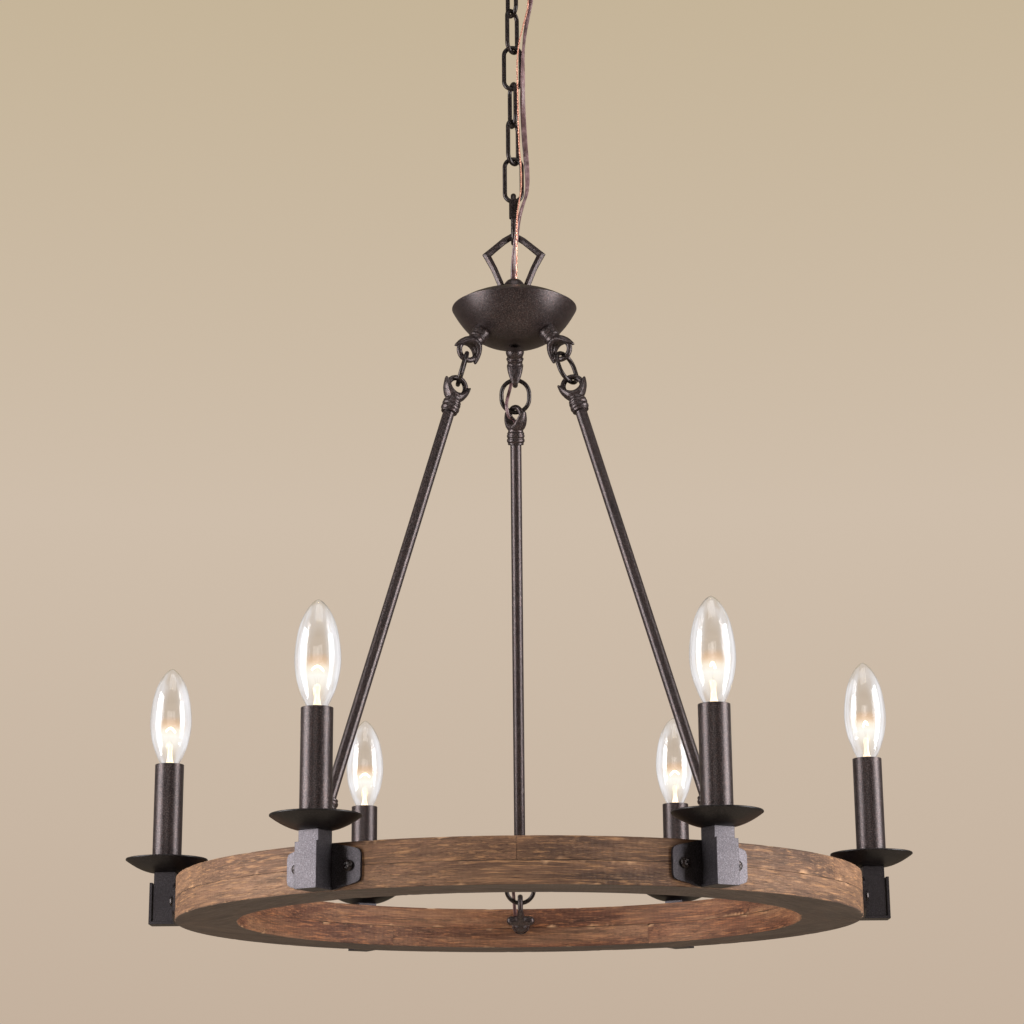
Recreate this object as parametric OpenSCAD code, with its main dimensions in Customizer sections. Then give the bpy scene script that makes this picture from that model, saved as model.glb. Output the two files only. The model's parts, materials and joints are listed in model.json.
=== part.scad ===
// Wagon wheel chandelier: a laminated wooden rim on three rods under a
// bowl-shaped hub, hung on a short chain, with six candle lamps.
// Millimetres, +Z up. The origin is the ceiling plane above the hub.
// Heights named h_ are counted from the underside of the wooden rim.

/* [Wooden rim] */
// Outer radius of the rim
rim_ro = 280.5; // [270:0.5:290]
// Inner radius of the rim
rim_ri = 230; // [222:0.5:236]
// Height of each of the two glued layers
layer_h = 17.5; // [17:0.1:18]
// Hairline joint between two neighbouring segments
joint_gap = 0.16; // [0.1:0.02:0.4]

/* [Candles] */
// Radius of the circle that the candles stand on
candle_r = 291.5; // [291.5:0.1:292]
// Side of the square post
post_w = 17.4; // [16.8:0.1:17.6]
// Width of the bracket's front plate
plate_w = 19; // [17.6:0.1:20]
// Outer diameter of the drip pan
pan_d = 67.5; // [56:0.5:74]
// Outer diameter of the candle cover
cover_d = 24; // [23.8:0.1:25]
// Height of the top of the candle cover
h_cover_top = 133.4; // [133:0.1:134]
// Greatest diameter of a bulb
bulb_d = 34.6; // [32:0.2:36]
// Height of the tip of a bulb
h_bulb_tip = 215; // [208:0.5:218]

/* [Hub] */
// Radius of the bowl's rim
hub_r = 54.8; // [53:0.2:58]
// Height of the bowl's rim
h_hub_rim = 535; // [534:0.5:536]
// Depth of the bowl
bowl_depth = 34; // [33.5:0.1:34.5]
// Rise of the domed cover
cover_rise = 15; // [14.8:0.1:15.2]
// Thickness of the square bar of the top loop
loop_bar = 5.5; // [5:0.1:5.8]

/* [Rods] */
// Outer diameter of a rod
rod_d = 10; // [9.6:0.1:10]
// Wire of the oval rings
ring_wire = 3.8; // [3.4:0.1:3.9]
// Width over an oval ring
ring_w = 28.5; // [27:0.5:30]

/* [Chain] */
// Length over one chain link
link_len = 44.5; // [44:0.1:45]
// Width over one chain link
link_w = 19; // [18.6:0.1:20]
// Wire of a chain link
link_wire = 3.9; // [3.6:0.1:4]

/* [Canopy] */
// Outer diameter of the canopy
canopy_d = 127; // [118:1:140]
// Depth of the canopy
canopy_depth = 34; // [32:0.5:36]

/* [Hidden] */
$fn = 64;

bronze = [0.23, 0.19, 0.18];
iron = [0.14, 0.12, 0.12];
wood = [0.45, 0.28, 0.17];
brass = [0.72, 0.56, 0.30];
zinc = [0.62, 0.62, 0.60];

gap = 0.3;                                   // play where two wires hook
h_rim = 2 * layer_h;
h_mid = layer_h;
candles = [-30, 30, 90, 150, -150, -90];     // azimuths, clockwise from the front
rods = [-60, 60, 180];                       // left, right, rear

// the pull line runs from each hub eye straight down to its rim eye
pull = 17.64;                                // angle from the vertical
u = [sin(pull), -cos(pull)];                 // outward, up
hub_eye = [46.5, 488.7];                     // radius and height of a hub eye's centre
hub_eye_tilt = 35;                           // its axis, from straight down
eye_c = 8.4;                                 // eye's wire circle
eye_wire = 2.4;                              // radius of the eye's wire
eye_hole = eye_c - eye_wire;
eye_len = 25.5;                              // from the collar's end to the eye's centre
seat = eye_hole - ring_wire / 2 - gap;       // ring's wire to the eye's centre
ring_c = 36.4 - 2 * seat;                    // ring, wire centre to wire centre
play = 0.8;                                  // slack at the rim eyes
s_top = 36.4;                                // along the pull line from the hub eye
s_low = 442.3;
s_rim = s_low + 2 * seat + ring_c - play;
function along(s) = hub_eye + s * u;
rim_eye = along(s_rim);
ball_c = [221.5, 19.6];
saddle_c = [212, 22.5];

// chain
pitch = link_len - 2 * link_wire - gap;
h_link6 = 634.9;                             // underside of the lowest link
function h_link(i) = h_link6 + (6 - i) * pitch;
turns = [120, 55, 0, 110, 55, 0];            // how far each link is turned about the vertical
ql_wire = 4.8;
ql_len = 48.6;
ql_w = 20;
h_ql_top = h_link6 + link_wire + gap + ql_wire;       // top outside of the quick link
h_ql = h_ql_top - ql_len;                             // its underside
h_apex = h_ql + ql_wire + gap;                        // inside of the top loop's peak
ql_leg = (ql_w - ql_wire) / 2;
nut_lo = 617.4;
nut_hi = 634;

// canopy
cl_wire = 4.6;
cl_turn = 40;
h_cl = h_link(1) + link_len - link_wire - gap - cl_wire; // underside of the canopy loop
h_canopy = h_cl + 33.4;
h_ceiling = h_canopy + canopy_depth;
drop = h_ceiling;

module at(h = 0) { translate([0, 0, h - drop]) children(); }
module az(a) { rotate([0, 0, a]) children(); }
// local +Z laid along the direction t degrees outward from straight up
module lean(r, h, t) { translate([0, -r, h]) rotate([t, 0, 0]) children(); }
module ring2d(r1, r2) { difference() { circle(r = r2); circle(r = r1); } }

// closed loop of round wire in the XZ plane, underside at z = 0
module wire_loop(len, w, wire, f = 40) {
  r = (w - wire) / 2;
  z0 = wire / 2 + r;
  z1 = len - wire / 2 - r;
  translate([0, 0, z1]) rotate([90, 0, 0]) rotate([0, 0, 0])
    rotate_extrude(angle = 180, $fn = f) translate([r, 0]) circle(d = wire, $fn = 24);
  translate([0, 0, z0]) rotate([90, 0, 0]) rotate([0, 0, 180])
    rotate_extrude(angle = 180, $fn = f) translate([r, 0]) circle(d = wire, $fn = 24);
  for (s = [-1, 1]) translate([s * r, 0, z0]) cylinder(d = wire, h = z1 - z0, $fn = 24);
}

/* ---------- ceiling ---------- */

module crossbar() {
  color(zinc) at(h_ceiling - 2.5) difference() {
    linear_extrude(2.5) difference() {
      union() { square([92, 22], center = true); for (s = [-1, 1]) translate([s * 46, 0]) circle(r = 11); }
      circle(r = 4.85);
      translate([18, 5]) circle(r = 1.9);
      for (s = [-1, 1]) translate([s * 44.45, 0]) {
        square([7.4, 4.6], center = true);
        for (q = [-1, 1]) translate([q * 3.7, 0]) circle(r = 2.3);
      }
    }
  }
}
module canopy_nipple() {
  color(zinc) at(h_canopy + 8) linear_extrude(canopy_depth - 8 + 8) ring2d(3.4, 4.75);
}
module nipple_locknut() {
  color(zinc) at(h_ceiling - 7) linear_extrude(4.4) difference() { circle(r = 8.1, $fn = 6); circle(r = 4.85); }
}
module canopy_loop() {
  color(bronze) at(0) {
    difference() {
      union() {
        translate([0, 0, h_cl]) rotate([0, 0, cl_turn]) wire_loop(29.4, 22, cl_wire);
        translate([0, 0, h_canopy - 8]) cylinder(r = 12.5, h = 26);
        translate([0, 0, h_canopy - 10]) cylinder(r1 = 8, r2 = 12.5, h = 2);
      }
      translate([0, 0, h_canopy + 4]) cylinder(r = 4.85, h = 30);
      translate([0, 0, h_canopy - 20]) cylinder(r = 4.5, h = 30);
    }
  }
}
module ground_screw() {
  color([0.2, 0.45, 0.25]) at(0) translate([18, 5, 0]) difference() {
    union() {
      translate([0, 0, h_ceiling - 5]) cylinder(r = 3.6, h = 2.4);
      translate([0, 0, h_ceiling - 3]) cylinder(r = 1.85, h = 8);
    }
    translate([0, 0, h_ceiling - 5]) cube([5.4, 0.9, 2.2], center = true);
  }
}
module wire_connectors() {
  for (i = [0, 1, 2]) color(i == 2 ? [0.2, 0.45, 0.25] : [0.75, 0.42, 0.12])
    at(h_canopy + 14) rotate([0, 0, 90 + i * 50]) translate([32, 0, 0]) {
      cylinder(r1 = 4.2, r2 = 6.2, h = 13);
      translate([0, 0, 13]) cylinder(r = 6.6, h = 2);
      for (s = [-1, 1]) translate([s * 2, 0, -6]) cylinder(r = 1, h = 6);
    }
}

function canopy_z(r) = canopy_depth * pow((r - 20) / (canopy_d / 2 - 20), 2.4);
module canopy() {
  n = 10;
  ro = canopy_d / 2;
  out = [for (i = [0:n]) let (r = 20 + (ro - 20) * (1 - pow(1 - i / n, 1.6))) [r, 0.86 * canopy_z(r)]];
  inn = [for (i = [n:-1:0]) let (r = 20 + (ro - 21.4 ) * (1 - pow(1 - i / n, 1.6))) [r - 0.3, 0.86 * canopy_z(r) * 0.96 + 1.3]];
  color(bronze) at(h_canopy) rotate_extrude($fn = 96)
    polygon(concat([[13, 0]], out, [[ro, canopy_depth], [ro - 1.4, canopy_depth]], inn, [[13, 1.3]]));
}
module canopy_collar() {
  color(bronze) at(h_canopy - 5.6) rotate_extrude()
    polygon([[12.55, 0], [15.4, 0], [17.6, 1.6], [18, 3], [17.6, 5.2], [16.6, 5.6], [12.55, 5.6]]);
}

/* ---------- chain ---------- */

module chain_link(i) {
  color(iron) at(h_link(i)) rotate([0, 0, turns[i - 1]]) wire_loop(link_len, link_w, link_wire);
}
module quick_link() {
  color(iron) at(h_ql) rotate([0, 0, -90]) difference() {
    wire_loop(ql_len, ql_w, ql_wire);
    translate([ql_leg, 0, 627.6 - h_ql]) cube([7, 7, 8.4], center = true);
  }
}
module quick_link_nut() {
  color(iron) at(nut_lo) translate([0, -ql_leg, 0]) difference() {
    union() {
      cylinder(r = 3.9, h = nut_hi - nut_lo, $fn = 6);
      cylinder(r = 3.4, h = nut_hi - nut_lo);
    }
    translate([0, 0, -1]) cylinder(r = ql_wire / 2 + 0.05, h = 30, $fn = 24);
  }
}

/* ---------- hub ---------- */

function bowl_z(r) = h_hub_rim - bowl_depth * (1 - pow(r / hub_r, 3));
function bowl_in(r) = h_hub_rim - (bowl_depth - 1.6) * (1 - pow(r / (hub_r - 1.7), 3));
function dome_z(r) = h_hub_rim + cover_rise * (1 - pow(r / hub_r, 2.6));
bs = [for (i = [0:14]) 1 - pow(1 - i / 14, 1.5)];

module hub_loop() {
  hb = loop_bar;
  x1 = 27.9; z1 = 586.2;
  slope = 5.96;
  color(bronze) at(0) difference() {
    union() {
      rotate([90, 0, 0]) linear_extrude(hb, center = true) difference() {
        polygon([[0, h_apex + 7], [10, h_apex + 1.1], [19, h_apex - 6.6], [x1, z1], [20.4, z1 - 14], [14.6, 557.6], [11.4, 550.1],
                 [-11.4, 550.1], [-14.6, 557.6], [-20.4, z1 - 14], [-x1, z1], [-19, h_apex - 6.6], [-10, h_apex + 1.1]]);
        polygon([[2.5, h_apex + 0.87], [8, h_apex - 4.43], [15, h_apex - 10.6], [20.2, z1 - 1.2], [14.6, z1 - 13], [9.4, 560], [5, 548],
                 [-5, 548], [-9.4, 560], [-14.6, z1 - 13], [-20.2, z1 - 1.2], [-15, h_apex - 10.6], [-8, h_apex - 4.43], [-2.5, h_apex + 0.87]]);
      }
      rotate_extrude() polygon([[0, 550.1], [10.4, 550.1], [10.6, 552], [10, 555.4], [8.6, 558.6], [6.6, 561], [5.2, 562], [0, 562]]);
    }
    translate([0, 0, 540]) cylinder(r = 4.2, h = 40);
    translate([0, 0, 540]) cylinder(r = 4.85, h = 17);
  }
}
module hub_cover() {
  out = [for (t = bs) let (r = 4.9 + (hub_r - 4.9) * t) [r, dome_z(r)]];
  inn = [for (i = [14:-1:0]) let (r = 4.9 + (hub_r - 7.5) * bs[i]) [r, dome_z(r) - 1.3]];
  color(bronze) at(0) rotate_extrude($fn = 96)
    polygon(concat(out, [[hub_r - 0.1, h_hub_rim - 0.0], [hub_r - 2.4, h_hub_rim + 0.02]], inn));
}
module bowl_solid(extra = 0) {
  rotate_extrude($fn = 96) polygon(concat([for (t = bs) let (r = hub_r * t) [r, bowl_z(r) - extra]], [[0, h_hub_rim]]));
}
module eye_axis(a) { az(a) lean(hub_eye[0], hub_eye[1], 180 - hub_eye_tilt) translate([0, 0, -eye_len]) children(); }
module hub_bowl() {
  color(bronze) at(0) difference() {
    rotate_extrude($fn = 96) polygon(concat(
      [for (t = bs) let (r = 4.9 + (hub_r - 4.9) * t) [r, bowl_z(r)]],
      [for (i = [14:-1:0]) let (r = 4.9 + (hub_r - 1.7 - 4.9) * bs[i]) [r, bowl_in(r)]]));
    for (a = rods) eye_axis(a) translate([0, 0, -14]) cylinder(r = 3.15, h = 24);
    // the feed cord leaves behind the rear eye
    translate([0, 46, 521.5]) rotate([21, 0, 0]) cylinder(r = 2.6, h = 14, center = true, $fn = 32);
  }
}

// cast eye on a collar: axis along +Z, hole along X, its centre at eye_len
module eye_body() {
  w0 = 10.4;
  difference() {
    intersection() {
      rotate([90, 0, 90]) linear_extrude(20, center = true)
        polygon([[-6.7, w0], [-7.4, 13.5], [-9.3, 19], [-11.4, 25], [-12.9, 29.4], [-9.4, 30.6], [9.4, 30.6],
                 [12.9, 29.4], [11.4, 25], [9.3, 19], [7.4, 13.5], [6.7, w0]]);
      rotate([90, 0, 0]) linear_extrude(30, center = true)
        polygon([[-7.6, w0], [-6.9, 14], [-2.6, 32], [2.6, 32], [6.9, 14], [7.6, w0]]);
    }
    translate([0, 0, eye_len]) rotate([0, 90, 0]) cylinder(r = eye_c, h = 40, center = true);
  }
  translate([0, 0, eye_len]) rotate([0, 90, 0]) rotate_extrude() translate([eye_c, 0]) circle(r = eye_wire, $fn = 24);
}
module rod_eye() {
  difference() {
    union() {
      rotate_extrude() polygon([[0, 0], [6.6, 0], [7.1, 0.4], [7.1, 1.7], [6.6, 2.1], [7.4, 2.4], [8, 3.2], [8, 5.2], [7.4, 6],
                                [6.8, 6.3], [7.4, 6.6], [8, 7.4], [8, 9], [7.4, 9.8], [6.9, 10.1], [7.9, 10.3], [7.9, 10.8], [0, 10.8]]);
      eye_body();
    }
    translate([0, 0, -1]) cylinder(r = rod_d / 2 + 0.05, h = 8.5);
    translate([0, 0, 6]) cylinder(r = 2, h = 18);
  }
}
module hub_eyes() {
  color(bronze) at(0) for (a = rods) {
    difference() {
      eye_axis(a) union() {
        translate([0, 0, 3.1]) sphere(r = 8.2, $fn = 48);
        translate([0, 0, 9.2]) cylinder(r = 8, h = 1.4);
        eye_body();
      }
      bowl_solid(0.05);
    }
    eye_axis(a) translate([0, 0, -9]) cylinder(r = 3, h = 14, $fn = 32);
  }
}
module hub_nuts() {
  color(zinc) at(0) {
    for (a = rods) eye_axis(a) translate([0, 0, -5.6]) difference() {
      cylinder(r = 5.8, h = 4, $fn = 6);
      translate([0, 0, -1]) cylinder(r = 3.05, h = 10);
    }
    translate([0, 0, bowl_in(8) + 0.05]) linear_extrude(2.2) ring2d(4.8, 8);
  }
}
module hub_nipple() {
  color(zinc) at(h_hub_rim - bowl_depth - 0.3) linear_extrude(55.9) ring2d(3.4, 4.75);
}

/* ---------- rods ---------- */

module rod(a) {
  p = along(s_top + eye_len - 6.6);
  color(bronze) at(0) az(a) lean(p[0], p[1], 180 - pull)
    linear_extrude(s_low - s_top - 2 * (eye_len - 6.6)) ring2d(rod_d / 2 - 1, rod_d / 2);
}
module rod_eyes(a, t_top, t_low) {
  p = along(s_top);
  q = along(s_low);
  color(bronze) at(0) az(a) {
    lean(p[0], p[1], -pull) rotate([0, 0, t_top]) translate([0, 0, -eye_len]) rod_eye();
    lean(q[0], q[1], 180 - pull) rotate([0, 0, t_low]) translate([0, 0, -eye_len]) rod_eye();
  }
}
module rings(a, t_top, t_low) {
  p = along(s_top - seat + ring_wire / 2);
  q = along(s_low + seat - ring_wire / 2);
  color(iron) at(0) az(a) {
    lean(p[0], p[1], -pull) rotate([0, 0, t_top]) wire_loop(ring_c + ring_wire, ring_w, ring_wire, 56);
    lean(q[0], q[1], 180 - pull) rotate([0, 0, t_low]) wire_loop(ring_c + ring_wire, ring_w, ring_wire, 56);
  }
}

/* ---------- rim ---------- */

module rim_layer(h, start) {
  color(wood) at(h) difference() {
    linear_extrude(layer_h) difference() {
      rotate([0, 0, 7]) ring2d(rim_ri, rim_ro);
      for (k = [0:5]) rotate([0, 0, start + 60 * k]) translate([0, -rim_ro + 30]) square([joint_gap, 90], center = true);
    }
    // groove on top for the wires, and a way out to each post
    if (h > 1) difference() {
      translate([0, 0, layer_h - 6]) linear_extrude(10) ring2d(261.5, 268.5);
    }
    if (h > 1) for (a = candles) az(a) translate([0, -262, layer_h - 3]) rotate([90, 0, 0]) cylinder(r = 2.4, h = 30);
    if (h > 1) az(180) translate([5, -262, 30 - layer_h]) rotate([-90, 0, 0]) cylinder(r = 2.5, h = 50);
    for (a = candles) az(a) for (s = [-22.5, 22.5])
      translate([s, -258, h_mid - h]) rotate([90, 0, 0]) rotate([0, 0, 50]) cylinder(r = 1.8, h = 40, $fn = 24);
    for (a = rods) az(a) translate([0, -251, ball_c[1] - h]) rotate([-90, 0, 0]) cylinder(r = 3.1, h = 40, $fn = 32);
  }
}
module rim_eye_bolts() {
  d = saddle_c - rim_eye;
  n = norm(d);
  color(bronze) at(0) for (a = rods) az(a) {
    lean(rim_eye[0], rim_eye[1], 0) rotate([0, 90, 0]) rotate_extrude() translate([eye_c, 0]) circle(r = eye_wire, $fn = 24);
    lean(rim_eye[0], rim_eye[1], atan2(d[0], d[1])) translate([0, 0, eye_c]) cylinder(r1 = 2.6, r2 = 4.4, h = n - eye_c);
    translate([0, -saddle_c[0], saddle_c[1]]) rotate([0, 90, 0]) {
      cylinder(r = 4.2, h = 17, center = true);
      for (s = [-1, 1]) translate([0, 0, 8.5 * s]) sphere(r = 4.2);
    }
    translate([0, -ball_c[0], ball_c[1]]) sphere(r = 7.4, $fn = 48);
    translate([0, -250.5, ball_c[1]]) rotate([-90, 0, 0]) cylinder(r = 3, h = 24);
    translate([0, -229.85, ball_c[1]]) rotate([-90, 0, 0]) cylinder(r = 8, h = 1.6);
  }
}
module rim_brackets() {
  t = 2.2;
  fr = candle_r + post_w / 2 + 1.2;
  color(bronze) at(0) for (a = candles) az(a) {
    difference() {
      intersection() {
        translate([0, 0, 0]) linear_extrude(40) ring2d(rim_ro + 0.05, rim_ro + 0.05 + t);
        translate([0, -270, 0]) rotate([90, 0, 0]) linear_extrude(20)
          polygon([[9.5, 0.6], [28.6, 5], [31.4, 6.4], [32.4, 9.2], [32.4, 25.8], [31.4, 28.6], [28.6, 30], [9.5, 34.4],
                   [-9.5, 34.4], [-28.6, 30], [-31.4, 28.6], [-32.4, 25.8], [-32.4, 9.2], [-31.4, 6.4], [-28.6, 5], [-9.5, 0.6]]);
      }
      for (s = [-22.5, 22.5]) translate([s, -270, h_mid]) rotate([90, 0, 0]) cylinder(r = 2, h = 20, $fn = 32);
      translate([0, -270, 32]) rotate([90, 0, 0]) cylinder(r = 2.6, h = 20, $fn = 32);
    }
    translate([-plate_w / 2, -fr - t, 0.6]) cube([plate_w, fr + t - rim_ro - 1.6, t]);
    translate([-plate_w / 2, -fr - t, 0.6]) cube([plate_w, t, 33.8]);
  }
}
module bracket_screws() {
  r0 = rim_ro + 2.25;
  color(iron) at(0) for (a = candles) az(a) for (s = [-22.5, 22.5])
    translate([s, -r0 + s * s * 0.0017 - 0.25, h_mid]) rotate([90, 0, 0]) difference() {
      union() {
        rotate_extrude($fn = 40) polygon([[0, 0.1], [4.2, 0.1], [4.2, 0.9], [3.6, 1.9], [2.2, 2.5], [0, 2.7]]);
        translate([0, 0, -20]) cylinder(r = 1.7, h = 21, $fn = 24);
      }
      for (q = [0, 90]) rotate([0, 0, q + 20]) translate([0, 0, 2.6]) cube([4, 0.85, 3], center = true);
    }
}

/* ---------- candles ---------- */

h_post0 = 2.85;
h_post1 = 43.2;
module candle_posts() {
  color(bronze) at(0) for (a = candles) az(a) difference() {
    translate([-post_w / 2, -candle_r - post_w / 2, h_post0]) cube([post_w, post_w, h_post1 - h_post0]);
    translate([-post_w / 2 + 1.5, -candle_r - post_w / 2 + 1.5, h_post0 - 1]) cube([post_w - 3, post_w - 3, h_post1 - h_post0 - 1]);
    translate([0, -candle_r, 30]) cylinder(r = 4.9, h = 30);
    translate([0, -candle_r + 2, 32]) rotate([-90, 0, 0]) cylinder(r = 2.6, h = 12, $fn = 32);
  }
}
pr = pan_d / 2;
function pan_z(r) = 0.05 + 10.4 * pow(max(0, r - 9) / (pr - 9), 1.75);
module drip_pans() {
  n = 9;
  out = [for (i = [0:n]) let (r = 9 + (pr - 9) * i / n) [r, pan_z(r)]];
  inn = [for (i = [n:-1:0]) let (r = 9 + (pr - 9) * i / n) [r - 0.35, pan_z(r) + 1.1]];
  color(bronze) at(h_post1) for (a = candles) az(a) translate([0, -candle_r, 0])
    rotate_extrude($fn = 72) polygon(concat([[4.9, 0.05]], out, inn, [[4.9, 1.15]]));
}
module candle_nipples() {
  color(zinc) at(h_post1 - 8) for (a = candles) az(a) translate([0, -candle_r, 0]) linear_extrude(22) ring2d(3, 4.75);
}
module candle_nuts() {
  color(zinc) at(0) for (a = candles) az(a) translate([0, -candle_r, 0]) for (h = [h_post1 - 5.1, h_post1 + 1.25])
    translate([0, 0, h]) linear_extrude(3) difference() { circle(r = 6.9, $fn = 6); circle(r = 4.8); }
}
module lamp_sockets() {
  color([0.86, 0.84, 0.78]) at(0) for (a = candles) az(a) translate([0, -candle_r, 0])
    rotate_extrude() polygon([[4.8, 47.6], [7.6, 47.6], [7.6, 56], [6.4, 57], [6.4, 95], [9.6, 99], [9.6, 131], [6.95, 131],
                              [6.95, 107], [2.7, 107], [2.7, 58], [4.8, 58]]);
}
module socket_brass() {
  color(brass) at(0) for (a = candles) az(a) translate([0, -candle_r, 0]) {
    translate([0, 0, 109.6]) linear_extrude(18) ring2d(6.2, 6.85);
    translate([0, 0, 107.1]) cylinder(r = 4, h = 1.2);
    translate([0, 0, 103]) cylinder(r = 1.5, h = 4.2);
  }
}
module candle_covers() {
  color(bronze) at(46.1) for (a = candles) az(a) translate([0, -candle_r, 0])
    linear_extrude(h_cover_top - 46.1) ring2d(cover_d / 2 - 0.8, cover_d / 2);
}

br = bulb_d / 2;
// outline of the bulb's glass: share of the radius against share of the height
glass = [[0.355, 0], [0.364, 0.028], [0.462, 0.068], [0.561, 0.109], [0.653, 0.152], [0.792, 0.225], [0.902, 0.306],
         [0.971, 0.387], [1, 0.46], [0.988, 0.537], [0.948, 0.615], [0.884, 0.693], [0.792, 0.769], [0.682, 0.832],
         [0.543, 0.89], [0.399, 0.936], [0.254, 0.971], [0.127, 0.992], [0.052, 1]];
h_neck = 128.6;
gh = h_bulb_tip - h_neck;
module bulb_glass(i) {
  n = len(glass) - 1;
  color([0.85, 0.9, 0.95, 0.35]) at(h_neck) az(candles[i - 1]) translate([0, -candle_r, 0]) rotate_extrude($fn = 72)
    polygon(concat([for (g = glass) [g[0] * br, g[1] * gh]], [[0, gh]], [[0, gh - 2]],
                   [for (k = [n - 1:-1:0]) [max(0.4, glass[k][0] * br - 0.8), max(0, glass[k][1] * gh - 0.6 * glass[k][1])]]));
}
module bulb_base(i) {
  color(brass) at(0) az(candles[i - 1]) translate([0, -candle_r, 0]) {
    rotate_extrude() polygon([[0, 108.5], [1.6, 108.5], [2.4, 109], [2.8, 110.6], [4.6, 112], [5.95, 113.4], [5.95, 128.5],
                              [5.0, 128.5], [5.0, 130], [2.8, 131], [2.2, 136], [1.7, 148], [2.4, 151], [0, 151.5]]);
  }
}

/* ---------- cords ---------- */

function unit(v) = v / norm(v);
function cross3(a, b) = [a[1] * b[2] - a[2] * b[1], a[2] * b[0] - a[0] * b[2], a[0] * b[1] - a[1] * b[0]];
// smooth curve through the route's own points
function spline(p, k, t) = let (
    a = p[max(0, k - 1)], b = p[k], c = p[k + 1], d = p[min(len(p) - 1, k + 2)])
  0.5 * (2 * b + (c - a) * t + (2 * a - 5 * b + 4 * c - d) * t * t + (3 * b - a - 3 * c + d) * t * t * t);
function dense(p, m) = concat([for (k = [0:len(p) - 2]) for (j = [0:m - 1]) spline(p, k, j / m)], [p[len(p) - 1]]);
module tube(p, r, n = 8) {
  m = len(p);
  ts = [for (i = [0:m - 1]) unit(p[min(m - 1, i + 1)] - p[max(0, i - 1)])];
  ref = [0.13, 0.99, 0.05];
  pts = [for (i = [0:m - 1]) let (x = unit(cross3(ref, ts[i])), y = cross3(ts[i], x))
         for (j = [0:n - 1]) p[i] + r * (cos(360 * j / n) * x + sin(360 * j / n) * y)];
  fs = concat([[for (j = [0:n - 1]) j]],
              [for (i = [0:m - 2]) for (j = [0:n - 1]) [i * n + j, (i + 1) * n + j, (i + 1) * n + (j + 1) % n, i * n + (j + 1) % n]],
              [[for (j = [n - 1:-1:0]) (m - 1) * n + j]]);
  polyhedron(pts, fs, convexity = 10);
}
supply = [[-0.6, 0.5, 552], [-0.6, 0.5, 562], [-0.4, -2, 572], [0.4, -8, 582], [1.6, -13, 592], [3.4, -15.5, 604],
          [5.4, -15.5, 616], [8.4, -12.5, 628], [11.6, -7, 641], [12.6, -3, 656], [11.8, -1.5, 674], [10.6, -1.5, 692],
          [9.6, -2, 712], [9, -3.5, 734], [9.4, -5.5, 756], [9.8, -5.5, 776], [11.4, -4, 796], [14.4, -2.6, 816],
          [17.2, -3, 833], [16.4, -4.4, 841], [12.8, -5.6, 849], [8.6, -6.6, 856], [6.4, -6.2, 863], [3.4, -3.6, 869], [1.4, -0.6, 875.5],
          [0.9, 0.6, 884], [0.9, 0.6, 892], [0.9, 0.6, 900]];
ground = [[2, -1.4, 552], [2.1, -1.8, 562], [2.4, -5.6, 571], [2.5, -11.4, 580], [2.6, -16.4, 591], [2.9, -19, 604],
          [3.4, -19, 617], [5.2, -16.6, 630], [7, -13.6, 645], [7, -11.6, 664], [5.6, -11, 686], [5, -11.6, 708],
          [4.8, -12, 730], [4.4, -12, 752], [4.6, -11.8, 770], [6.6, -10.4, 788], [10.4, -7.6, 806], [14, -6.2, 822],
          [15, -7.8, 836], [12.6, -9, 843.5], [9.2, -9.4, 850], [6.4, -9.6, 856], [3.6, -9.2, 862], [1, -7.4, 867], [-1, -4.8, 871.5],
          [-1.8, -2.6, 875.5], [-1.7, -1.3, 881], [-1.7, -1.3, 890], [-1.7, -1.3, 900]];
feed = [[0, 38, 529], [0, 42.5, 527], [0, 45.2, 523.4], [0, 46.8, 519.5], [-0.4, 49.5, 513], [-1.2, 54.5, 506],
        [-2.2, 59.6, 500], [-3, 62.3, 493], [-3.8, 61.2, 486], [-5, 57.6, 479.5], [-6.6, 53.4, 472], [-7.8, 50.6, 465],
        [-7.6, 50.2, 458.5], [-5.5, 53.1, 452.3], [-2.2, 56.2, 451.4], [-0.3, 58.7, 449.2], [0, 60.05, 446], [0, 61.65, 441],
        [0, 63.5, 435.3], [0, 66.5, 425.8]];
rim_feed = [[0, 170, 100.5], [0, 174.6, 86], [0, 177.5, 76.8], [-1.5, 179, 71], [-5, 178.2, 66], [-7.4, 178, 60], [-7, 181, 53.5],
            [-6.4, 187, 48.5], [-6, 195, 43.5], [-5.6, 206, 37.5], [-5.2, 218, 32], [-5, 230, 30], [-5, 246, 30], [-5, 258, 30]];
module supply_cord() { color([0.30, 0.17, 0.18]) at(0) tube(dense(supply, 3), 2); }
module ground_wire() { color([0.72, 0.42, 0.30]) at(0) tube(dense(ground, 3), 0.8); }
module feed_cord() { color([0.30, 0.17, 0.18]) at(0) tube(dense(feed, 3), 1.5); }
module rim_feed_cord() {
  color([0.30, 0.17, 0.18]) at(0) tube(dense(rim_feed, 3), 1.5);
  color([0.30, 0.17, 0.18]) at(0) rotate_extrude($fn = 96) translate([265, 32]) circle(r = 1.8, $fn = 16);
  color([0.30, 0.17, 0.18]) at(0) for (a = candles) az(a) translate([0, -266.9, 32]) rotate([90, 0, 0]) cylinder(r = 1.8, h = 19.5, $fn = 24);
}

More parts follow.
